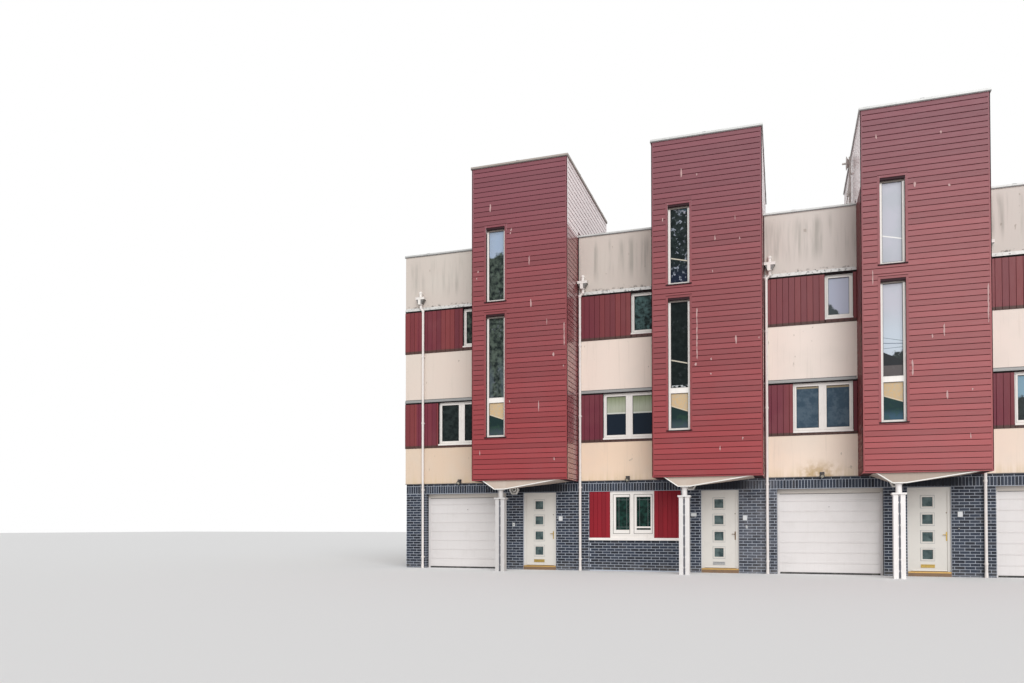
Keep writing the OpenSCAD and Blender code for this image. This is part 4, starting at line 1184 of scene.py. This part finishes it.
for i in houses:
    front, back = frontOf(i), backOf(i)
    for wall, name, count in ((front, "window1", 2), (front, "window2", 1), (back, "window1", 2),
                              (back, "window1b", 2), (back, "window2", 1), (back, "window2b", 1)):
        addWindow(wall, row[name], row[name[:7] + "Z"], count)
    addWindow(back, row["window1"], (row["infillBrick"], row["brickHead"]), 2)
    side, deep = windowSet["slitSide"], windowSet["slitDeep"]
    u, (z0, z1), (below, above) = grown(row["slitX"], -side), grown(row["slitLow"], -side), row["transom"]
    for z in ((z0, below), (above, z1), grown(row["slitHigh"], -side)):
        lights["tower"].append((front, (u, z), row["towerFront"] + deep, None))
    lights["tower"].append((rearOf(i), (u, grown(row["backSlit"], -side)), deep, None))
infillLights = windowLights(row["infillWindow"], (infillZ[0], row["brickHead"]), 2)
for light, u in zip(infillLights, infillSet["glass"]):
    lights["window"].append((filledFront, light, row["infillIn"] + 0.01, (u, infillSet["z"])))

sashes, gaskets = newPieces(2)
for kind, group in lights.items():
    panes, narrow = Piece(), kind == "tower"
    over = windowSet["slitOver" if narrow else "over"]
    proud = windowSet["slitProud" if narrow else "proud"]
    for wall, (u, z), at, glass in group:
        edge, bed = windowSet["edge"], windowSet["bed"]
        seen = glass or (grown(u, -edge), grown(z, -edge))
        sashes.ring(wall, (grown(u, over), grown(z, over)), seen, (at - proud, at + bed))
        gaskets.ring(wall, seen, windowSet["gasket"], (at + 0.002, at + 0.030))
        sheet, pane = windowSet["sheet"], (grown(u, -0.002), grown(z, -0.002))
        near = at + windowSet["paneIn"]
        far = near + sheet + windowSet["gap"]
        for d in (near, far):
            panes.box(wall, pane[0], (d, d + sheet), pane[1])
        panes.ring(wall, pane, bed, (near + sheet, far))
    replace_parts(panes.finish(f"{kind}_panes", "glass"), f"{kind}_glass")
sashes.finish("window_sashes", "frame", bevel=0.003)
gaskets.finish("window_gaskets", "rubber")

# leaded borders and a second rail in the window of the filled opening
leads, rails, joints = newPieces(3)
at, z, wide, off = row["infillIn"] + 0.034, infillSet["z"], infillSet["leadWide"], infillSet["lead"]
d = grown((at, at), 0.003)
for u in infillSet["glass"]:
    for a in (u[0] + off, u[1] - off - wide):
        leads.box(filledFront, (a, a + wide), d, z)
    for a in (z[0] + off, z[1] - off - wide):
        leads.box(filledFront, u, d, (a, a + wide))
# dark rings round the sashes: painted shade of their rebates
near = (row["infillIn"] - 0.005, row["infillIn"] - 0.001)
for u in infillSet["sash"]:
    joints.ring(filledFront, (u, infillSet["sashZ"]), infillSet["seam"], near)
rails.box(filledFront, infillSet["glass"][1], (at - 0.03, at), infillSet["rail"])
leads.finish("infill_leads", "lead")
rails.finish("infill_rails", "frame", bevel=0.002)
joints.finish("infill_joints", "joint")
print("windows dressed")


# front doors: square mouldings in and out, and the small parts of the furniture, all riding on the leaf
doorSet = {"mid": 3.825, "first": 0.54, "pitch": 0.435, "side": 0.235, "moulding": 0.042, "high": 0.014,
           "leafOut": 0.1, "leafIn": 0.15, "leaf": (3.437, 4.272), "handle": 4.244, "joint": 0.005,
           "letterPlate": ((3.67, 3.98), (0.215, 0.295)), "flap": ((3.695, 3.955), (0.236, 0.274)),
           "slot": ((3.70, 3.95), (0.2745, 0.2785)), "lockZ": 1.57, "screwZ": (0.895, 1.085)}


def mouldingRing(piece, wall, u, z, inner, wide, d0, out):
    # a raised ring with a sloped inner face
    rings = [(inner, d0), (inner, d0 + out * 0.35), (inner + wide * 0.35, d0 + out),
             (inner + wide * 0.75, d0 + out), (inner + wide, d0)]
    corners = ((-1, -1), (1, -1), (1, 1), (-1, 1))
    points = [(u + a * half, d, z + b * half) for half, d in rings for a, b in corners]
    faces = []
    for r in range(0, 4 * (len(rings) - 1), 4):
        for a, b in ((r + k, r + (k + 1) % 4) for k in range(4)):
            faces.append((a + 4, b + 4, b, a) if out < 0 else (b, b + 4, a + 4, a))
    piece.add(wall, points, faces)


def dressDoor(i):
    mouldings, seams, fittings, bars = newPieces(4)
    front, handle, door = frontOf(i), doorSet["handle"], doorSet
    half = door["side"] / 2 - 0.002
    for k in range(4):
        z = door["first"] + k * door["pitch"]
        for d, out in ((door["leafOut"] + 0.001, -door["high"]), (door["leafIn"] - 0.001, door["high"])):
            mouldingRing(mouldings, front, door["mid"], z, half, door["moulding"], d, out)
            # the fine joint round each moulding, painted grey-blue for the shade along its edge
            outer = [grown((v, v), half + door["moulding"] + door["joint"]) for v in (door["mid"], z)]
            seams.ring(front, outer, door["joint"] + 0.001, tuple(sorted((d + out * 0.08, d - out * 0.10))))
    # letter plate: rim and flap; lock: ring and key slot
    fittings.ring(front, door["letterPlate"], 0.012, (0.088, 0.0925))
    fittings.box(front, door["flap"][0], (0.0895, 0.0925), door["flap"][1])
    fittings.rod(front, handle, (0.0905, 0.087), door["lockZ"], 0.009)
    for z in door["screwZ"]:
        fittings.rod(front, handle, (0.0925, 0.0905), z, 0.004, 8)
    # a dark bar: painted shade of the gap over the letter plate's flap
    bars.box(front, door["slot"][0], (0.0885, 0.0905), door["slot"][1])
    weatherBar = [(0.1, 0.135), (0.089, 0.137), (0.0965, 0.165), (0.1, 0.165)]
    mouldings.bar(front, weatherBar, grown(door["leaf"], -0.02))
    body, n = f"front_door_{i + 1}", i + 1
    mouldings.finish(f"door_mouldings_{n}", "door", body)
    seams.finish(f"door_seams_{n}", "doorEdge", body)
    fittings.finish(f"door_fittings_{n}", "brass", body, smooth=True)
    bars.finish(f"door_bars_{n}", "rubber", body)


# thresholds: brass strips on the brown steps
stripOutline = [(0.05, 0.119), (0.05, 0.1215), (0.058, 0.125), (0.08, 0.125), (0.088, 0.1215),
                (0.088, 0.119)]
# back doors: two sunk panels with beads, and a lever on its plate
backDoorSet = {"panel": (3.545, 4.165), "panelZ": ((0.32, 0.98), (1.12, 1.98)), "bead": 0.028,
               "field": 0.07, "plate": ((4.205, 4.239), (0.90, 1.12)),
               "key": ((4.216, 4.228), (0.935, 0.965)), "lever": (4.222, 1.05), "leverEnds": (4.230, 4.110)}
strips, backBeads, backLevers = newPieces(3)
for i in houses:
    dressDoor(i)
    for wall in (frontOf(i), backOf(i)):
        strips.bar(wall, stripOutline, grown(row["door"], -0.062))
        strips.box(wall, grown(row["door"], -0.01), (0.0225, 0.026), (0.086, 0.116))
    back, panelU, (u, z) = backOf(i), backDoorSet["panel"], backDoorSet["lever"]
    for panelZ in backDoorSet["panelZ"]:
        backBeads.ring(back, (panelU, panelZ), backDoorSet["bead"], (0.083, 0.0955))
        field = [grown(span, -backDoorSet["field"]) for span in (panelU, panelZ)]
        backBeads.box(back, field[0], (0.090, 0.0955), field[1])
    plate, key = backDoorSet["plate"], backDoorSet["key"]
    backLevers.box(back, plate[0], (0.087, 0.0955), plate[1])
    backLevers.rod(back, u, (0.09, 0.045), z, 0.010)
    backLevers.rod(back, backDoorSet["leverEnds"], 0.05, z, 0.009)
    backLevers.box(back, key[0], (0.085, 0.0875), key[1])
strips.finish("threshold_strips", "stepBrass")
backBeads.finish("back_door_panels", "backDoor", bevel=0.003)
backLevers.finish("back_door_levers", "lead", smooth=True)
print("doors dressed")


# garage doors: foot, head and side seals, ribs, and a round pull with its lock
garageSet = {"leaf": (0.37, 2.77), "face": 0.225, "top": 2.09, "section": 0.268, "ribs": 7,
             "pull": (1.57, 1.74), "sealWide": 0.008}
seals, pulls = newPieces(2)
for i in houses:
    if i == row["filled"]:
        continue
    front, leaf, face, (x, z) = frontOf(i), garageSet["leaf"], garageSet["face"], garageSet["pull"]
    seals.box(front, leaf, (face - 0.014, face + 0.012), (0.0, 0.046))
    seals.box(front, leaf, (face - 0.022, face), (garageSet["top"] - 0.010, garageSet["top"] + 0.004))
    a, b = row["garage"]
    for u in ((a, a + garageSet["sealWide"]), (b - garageSet["sealWide"], b)):
        seals.box(front, u, (0.194, 0.201), (0.0, row["brickHead"] - 0.002))
    for k in range(garageSet["ribs"]):
        foot = (k + 1) * garageSet["section"]
        rib = [(face + 0.001, foot + 0.016), (face - 0.005, foot + 0.022), (face - 0.005, foot + 0.034),
               (face + 0.001, foot + 0.040)]
        pulls.bar(front, rib, grown(leaf, -0.01))
    pulls.rod(front, x, (face, face - 0.010), z, 0.034, 24)
    seals.rod(front, x, (face - 0.009, face - 0.013), z, 0.010)
seals.finish("garage_seals", "rubber")
pulls.finish("garage_ribs", "garage", smooth=True)


# columns: dark strips in the slots between the channels as painted shade, bolts, and the weld round each neck
columnSet = {"x": 3.05, "y": -1.02, "top": 1.94, "plate": (0.32, 0.26), "boltIn": 0.022, "bolts": 7,
             "firstBolt": 0.18, "boltPitch": 0.27, "boltOff": 0.045, "foot": 0.02, "slot": 0.0190,
             "deepSlot": 0.0155, "plateZ": (1.976, 1.991), "weldZ": (2.03, 2.036), "weld": (0.078, 0.071)}
slots, plates = newPieces(2)
for i in houses:
    front, x, y = frontOf(i), columnSet["x"], columnSet["y"]
    for name, d in (("slot", (y - 0.0975, y - 0.094)), ("deepSlot", (y - 0.1012, y - 0.097))):
        across = (x - columnSet[name], x + columnSet[name])
        slots.box(front, across, d, (columnSet["foot"], columnSet["top"]))
    across, deep = (v / 2 - columnSet["boltIn"] for v in columnSet["plate"])
    for sx in (-1, 1):
        for sy in (-1, 1):
            plates.rod(front, x + sx * across, y + sy * deep, columnSet["plateZ"], 0.011, 6)
    low, high = columnSet["weld"]
    plates.rod(front, x, y, columnSet["weldZ"], low, 32, high)
    for k in range(columnSet["bolts"]):
        z = columnSet["firstBolt"] + k * columnSet["boltPitch"]
        for s in (-1, 1):
            plates.rod(front, x + s * columnSet["boltOff"], (y - 0.0995, y - 0.106), z, 0.009, 6)
slots.finish("column_slots", "slot")
plates.finish("column_plates", "steel", smooth=True)


# joint straps over the copings of the parapets and the towers
copingSet = {"strap": 0.09, "every": 1.5, "last": 0.3, "thick": 0.003, "lip": 0.025,
             "backCut": (0.33, 0.28), "towerOut": 0.04, "towerD": (-1.225, -0.925), "towerFirst": 1.37,
             "sideOut": 0.043, "sideU": (-0.9, 3.6), "sideFirst": 1.1, "leftEnd": (0.35, 1.5),
             "rightEnd": (0.30, 5.0)}
straps = Piece()


def copingStraps(wall, u, d, z, first=0.75):
    at, s, t = u[0] + first, copingSet["strap"] / 2, copingSet["thick"]
    while at < u[1] - copingSet["last"]:
        across = (at - s, at + s)
        straps.box(wall, across, grown(d, t), (z[1] - 0.004, z[1] + t))
        for edge in ((d[0] - t, d[0]), (d[1], d[1] + t)):
            straps.box(wall, across, edge, (z[0] + 0.004, z[1] + 0.002))
        at += copingSet["every"]


parapetZ, towerZ = (row["copingFoot"], row["parapetTop"]), (row["towerWallTop"], row["towerTop"])
parapetD, lip = grown((0.0, row["wall"]), copingSet["lip"]), copingSet["lip"]
for i in houses:
    copingStraps(frontOf(i), (leftEnd(i), row["bay"]), parapetD, parapetZ)
    cutLeft, cutRight = copingSet["backCut"]
    backSpan = (leftEnd(i) + (0 if i else cutLeft), row["pitch"] - (cutRight if i == lastHouse else 0))
    copingStraps(backOf(i), backSpan, parapetD, parapetZ, 1.0)
    tower = (row["towerLeft"], row["towerRight"])
    copingStraps(frontOf(i), grown(tower, copingSet["towerOut"]), copingSet["towerD"], towerZ,
                 copingSet["towerFirst"])
    for x, inward in zip(grown(tower, copingSet["sideOut"]), (1, -1)):
        copingStraps(sideAt(houseX(i) + x, inward), copingSet["sideU"], (0.0, row["wall"]), towerZ,
                     copingSet["sideFirst"])
for x, inward, name in ((rowLeft - lip, 1, "leftEnd"), (rowRight + lip, -1, "rightEnd")):
    wide, first = copingSet[name]
    copingStraps(sideAt(x, inward), (0.0, depth - 0.2), (0.0, wide), parapetZ, first)
straps.finish("coping_straps", "coping")

# roof sheet: lapped seams, upstands at the walls, and two outlets to each house
roofSet = {"first": 0.9, "last": 8.6, "seam": 1.0, "wide": 0.08, "thick": 0.004, "upstand": 0.15,
           "towerSeams": (-0.35, 0.75, 1.85, 2.95), "towerWide": (2.51, 4.74),
           "outlets": ((1.0, 0.62), (2.6, 8.3)), "guard": 0.075, "leftIn": 0.31, "rightIn": 0.26,
           "fillet": 0.06, "filletTop": 0.012, "fromTower": 0.02}
sheets, outlets = newPieces(2)
roof, roofZ, wide = frontOf(0), row["roof"], roofSet["wide"]
roofLow = -row["leftMargin"] + roofSet["leftIn"]
roofHigh = row["pitch"] * row["houses"] - roofSet["rightIn"]
starts = [row["pitch"] * i for i in houses]
towerSpans = [(x + row["towerLeft"] - 0.03, x + row["towerRight"] + 0.03) for x in starts]
y = roofSet["first"]
while y < roofSet["last"]:
    for span in spans(roofLow, roofHigh, towerSpans if y < row["towerRear"] + 0.06 else []):
        sheets.box(roof, span, (y, y + wide), (roofZ - 0.001, roofZ + roofSet["thick"]))
    y += roofSet["seam"]
top, wall = roofZ + roofSet["upstand"], row["wall"]
fillet = [(wall, roofZ), (wall + roofSet["fillet"], roofZ), (wall + roofSet["filletTop"], top), (wall, top)]
for i, x in enumerate(starts):
    off = roofSet["fromTower"]
    sheets.bar(roof, fillet, (x + off if i else roofLow, x + row["towerLeft"] - off))
    sheets.bar(backOf(0), fillet, (x if i else roofLow, x + row["pitch"] if i < lastHouse else roofHigh))
    for across, d in roofSet["outlets"]:
        u = x + across
        outlets.rod(roof, u, d, (roofZ, roofZ + 0.012), 0.11, 24)
        for k in range(8):
            # bent wires of the leaf guard
            turn = math.pi * k / 4
            du, dd = roofSet["guard"] * math.cos(turn), roofSet["guard"] * math.sin(turn)
            ends = ((u + du, u + du * 0.25), (d + dd, d + dd * 0.25), (roofZ + 0.01, roofZ + 0.085))
            outlets.rod(roof, *ends, 0.005, 6)
    span, towerRoof = tuple(x + u for u in roofSet["towerWide"]), row["towerWallTop"] - 0.06
    for d in roofSet["towerSeams"]:
        sheets.box(roof, span, (d, d + wide), (towerRoof - 0.001, towerRoof + roofSet["thick"]))
sheets.finish("roof_seams", "membrane")
outlets.finish("roof_outlets", "lead", smooth=True)
print("roof dressed")


# rainwater: pipe clips, hopper rims, and a shoe at each pipe's foot
pipeSet = {"clipZ": (0.33, 2.33, 4.33, 6.33), "clip": 0.007, "clipOff": 0.038, "clipHigh": 0.015,
           "hopper": 0.143, "inner": 0.128, "rimZ": (8.105, 8.118),
           "bandsZ": ((8.096, 8.118), (8.048, 8.056)), "firstHopper": 0.16, "hopperOff": 0.09,
           "shoe": 0.041, "shoeHigh": 0.10, "clipOut": 0.050, "pipeOut": 0.06, "hopperOut": (-0.153, -0.002),
           "bandOut": (-0.154, -0.149)}
rims = Piece()
for i in houses:
    x = row["pipes"][i]
    hopperX = x + pipeSet["hopperOff"] if i else pipeSet["firstHopper"]
    for wall, at in ((frontOf(i), hopperX), (backOf(i), x)):
        for z in pipeSet["clipZ"]:
            for s in (-1, 1):
                clip = x + s * pipeSet["clipOff"]
                high = grown((z, z), pipeSet["clipHigh"])
                across = grown((clip, clip), pipeSet["clip"])
                rims.box(wall, across, (-pipeSet["clipOut"], 0.0), high)
        outer, inner = grown((at, at), pipeSet["hopper"]), grown((at, at), pipeSet["inner"])
        rim, rimIn = pipeSet["rimZ"], grown(pipeSet["rimZ"], -0.001)
        rims.ring(wall, (outer, rim), (inner, rimIn), pipeSet["hopperOut"])
        for z in pipeSet["bandsZ"]:
            rims.box(wall, outer, pipeSet["bandOut"], z)
        rims.rod(wall, x, -pipeSet["pipeOut"], (0.0, pipeSet["shoeHigh"]), pipeSet["shoe"], 24)
rims.finish("pipe_trims", "pipe", smooth=True)

# wall lights over the garages, and the porch lamps' small parts
lightSet = {"garage": 1.40, "plate": 0.058, "plateZ": (2.525, 2.625),
            "hood": ((-0.075, -0.116), (2.555, 2.515)), "lens": ((-0.118, -0.124), (2.512, 2.5085)),
            "cageAt": (-0.1235, 2.5085), "cage": 0.040, "porch": 3.105,
            "porchZ": (2.29, 2.345, 2.345, 2.345), "studs": 0.131, "bars": 0.108,
            "hoodRound": (0.044, 0.058), "lensRound": 0.038, "bar": 0.002, "dome": (0.060, 0.034),
            "rose": 0.078}
hexagon = [(math.cos(math.pi * k / 3), math.sin(math.pi * k / 3)) for k in range(7)]
darkParts, glassParts, paleParts = newPieces(3)
for i in houses:
    front, x = frontOf(i), lightSet["garage"]
    darkParts.box(front, grown((x, x), lightSet["plate"]), (-0.014, 0.0), lightSet["plateZ"])
    hoodStart, hoodEnd = lightSet["hoodRound"]
    darkParts.rod(front, x, *lightSet["hood"], hoodStart, 24, hoodEnd)
    glassParts.rod(front, x, *lightSet["lens"], lightSet["lensRound"], 24)
    d, z = lightSet["cageAt"]
    for k in range(4):
        # crossed bars over the slanting lens
        turn = math.pi * k / 4
        across, up = lightSet["cage"] * math.cos(turn), lightSet["cage"] * math.sin(turn)
        ends = ((x - across, x + across), (d - up * 0.5, d + up * 0.5), (z + up * 0.87, z - up * 0.87))
        darkParts.rod(front, *ends, lightSet["bar"], 6)
    darkParts.rod(front, x + 0.03, -0.03, (2.595, 2.63), 0.006, 8)
    x, z, studs, bars = lightSet["porch"], lightSet["porchZ"][i], lightSet["studs"], lightSet["bars"]
    for (a, b), (nextA, nextB) in zip(hexagon, hexagon[1:]):
        paleParts.rod(front, x + studs * a, (-0.044, -0.050), z + studs * b, 0.006, 6)
        across, up = (x + bars * a, x + bars * nextA), (z + bars * b, z + bars * nextB)
        darkParts.rod(front, across, -0.020, up, 0.006, 8)
    domeStart, domeEnd = lightSet["dome"]
    glassParts.rod(front, x, (-0.012, -0.040), z, domeStart, 32, domeEnd)
    darkParts.rod(front, x, (-0.008, -0.014), z, lightSet["rose"], 32)
darkParts.finish("lamp_cages", "lampDark", smooth=True)
glassParts.finish("lamp_lenses", "lampGlass", smooth=True)
paleParts.finish("lamp_plates", "lampPale", bevel=0.002)

# bare number plates and bell pushes on the brickwork: each kind's width and height, and the house whose
# push is dark
plateSet = {"plate": (0.11, 0.13), "widePlate": (0.14, 0.09), "push": (0.04, 0.07), "largePush": (0.07, 0.10),
            "darkPush": 2}
# kind, house, and the middle's x and z
plateAt = [("plate", 0, 4.48, 1.46), ("plate", 1, 4.50, 1.46), ("plate", 2, 4.53, 1.53),
           ("plate", 3, 4.50, 1.46), ("widePlate", 1, 3.18, 1.55)]
pushAt = [("largePush", 0, 3.08, 1.29), ("push", 1, 4.54, 1.22), ("push", 2, 4.50, 1.18),
          ("push", 3, 4.50, 1.22)]


def plateBox(kind, x, z):
    wide, high = plateSet[kind]
    return (x - wide / 2, x + wide / 2), (z - high / 2, z + high / 2)


signs, bells, buttons = newPieces(3)
for kind, i, x, z in plateAt:
    front, (u, z) = frontOf(i), plateBox(kind, x, z)
    signs.box(front, u, (0.004, 0.0175), z)
    signs.ring(front, (u, z), 0.006, (0.0015, 0.005))
    for a in grown(u, -0.014):
        for b in grown(z, -0.014):
            buttons.rod(front, a, (0.0045, 0.0028), b, 0.0035, 8)
for kind, i, x, z in pushAt:
    front, (u, z) = frontOf(i), plateBox(kind, x, z)
    case, button = (buttons, bells) if i == plateSet["darkPush"] else (bells, buttons)
    case.box(front, u, (-0.004, 0.0175), z)
    button.rod(front, x, (-0.003, -0.009), z[0] + (z[1] - z[0]) * 0.45, 0.011, 20)
signs.finish("bare_plates", "plate", bevel=0.001)
bells.finish("bell_pushes", "plate", bevel=0.002)
buttons.finish("bell_buttons", "rubber", smooth=True)

# mast: a dish's feed arm, clamps, a cable and a knob on the stay
mastSet = {"house": 2, "x": 2.19, "y": 1.0, "dishZ": 10.91, "cable": 8.35, "cableStep": 0.45, "cableSteps": 6,
           "clampZ": (8.62, 9.62, 10.62, 10.86, 10.97)}
aerial = Piece()
front, x, y, z = frontOf(mastSet["house"]), mastSet["x"], mastSet["y"], mastSet["dishZ"]
for k in range(mastSet["cableSteps"]):
    rise = tuple(mastSet["cable"] + j * mastSet["cableStep"] for j in (k, k + 1))
    aerial.rod(front, x - 0.026, (y - (0.030 if k % 2 else 0.026), y - 0.028), rise, 0.005, 6)
for at in mastSet["clampZ"]:
    aerial.rod(front, x, y, (at, at + 0.045), 0.033, 16)
aerial.rod(front, (x - 0.10, x - 0.17), y, z, 0.012, 8)
aerial.rod(front, (x - 0.022, x - 0.105), y, z, 0.034, 16, 0.026)
aerial.rod(front, x - 0.055, y, (10.02, 10.12), 0.032)
aerial.finish("mast_parts", "galvanised", smooth=True)
print("small parts fixed")


# plain floor
stageSet = {"half": 150.0, "colour": (0.82, 0.82, 0.82)}
floorMesh, half = bpy.data.meshes.new("floor"), stageSet["half"]
corners = [(-half, -half, 0), (half, -half, 0), (half, half, 0), (-half, half, 0)]
floorMesh.from_pydata(corners, [], [(0, 1, 2, 3)])
floor = bpy.data.objects.new("floor", floorMesh)
scene.collection.objects.link(floor)
floorMesh.materials.append(Look("floorLook", stageSet["colour"], 0.9, specular=0.1).material)
floor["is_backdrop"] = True

# soft even light: a white world, and one wide soft lamp in front and a little to the right
lampSet = {"world": 0.50, "seen": 1.0, "sun": 2.2, "sunAngle": 50, "sunTurn": (60, 0, 22)}
world = bpy.data.worlds.new("world")
scene.world = world
world.use_nodes = True
tree = world.node_tree
background = tree.nodes["Background"]
background.inputs["Color"].default_value = (1, 1, 1, 1)
path = tree.nodes.new("ShaderNodeLightPath")
seen = path.outputs["Is Camera Ray"]
for name in ("Is Glossy Ray", "Is Transmission Ray"):
    either = tree.nodes.new("ShaderNodeMath")
    either.operation = "MAXIMUM"
    tree.links.new(seen, either.inputs[0])
    tree.links.new(path.outputs[name], either.inputs[1])
    seen = either.outputs[0]
level = tree.nodes.new("ShaderNodeMapRange")
level.inputs["To Min"].default_value = lampSet["world"]
level.inputs["To Max"].default_value = lampSet["seen"]
tree.links.new(seen, level.inputs["Value"])
tree.links.new(level.outputs[0], background.inputs["Strength"])

sunData = bpy.data.lights.new("softSun", "SUN")
sunData.energy = lampSet["sun"]
sunData.angle = math.radians(lampSet["sunAngle"])
sun = bpy.data.objects.new("softSun", sunData)
sun.rotation_euler = [math.radians(a) for a in lampSet["sunTurn"]]
scene.collection.objects.link(sun)
print("stage and lights set")

low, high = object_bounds()
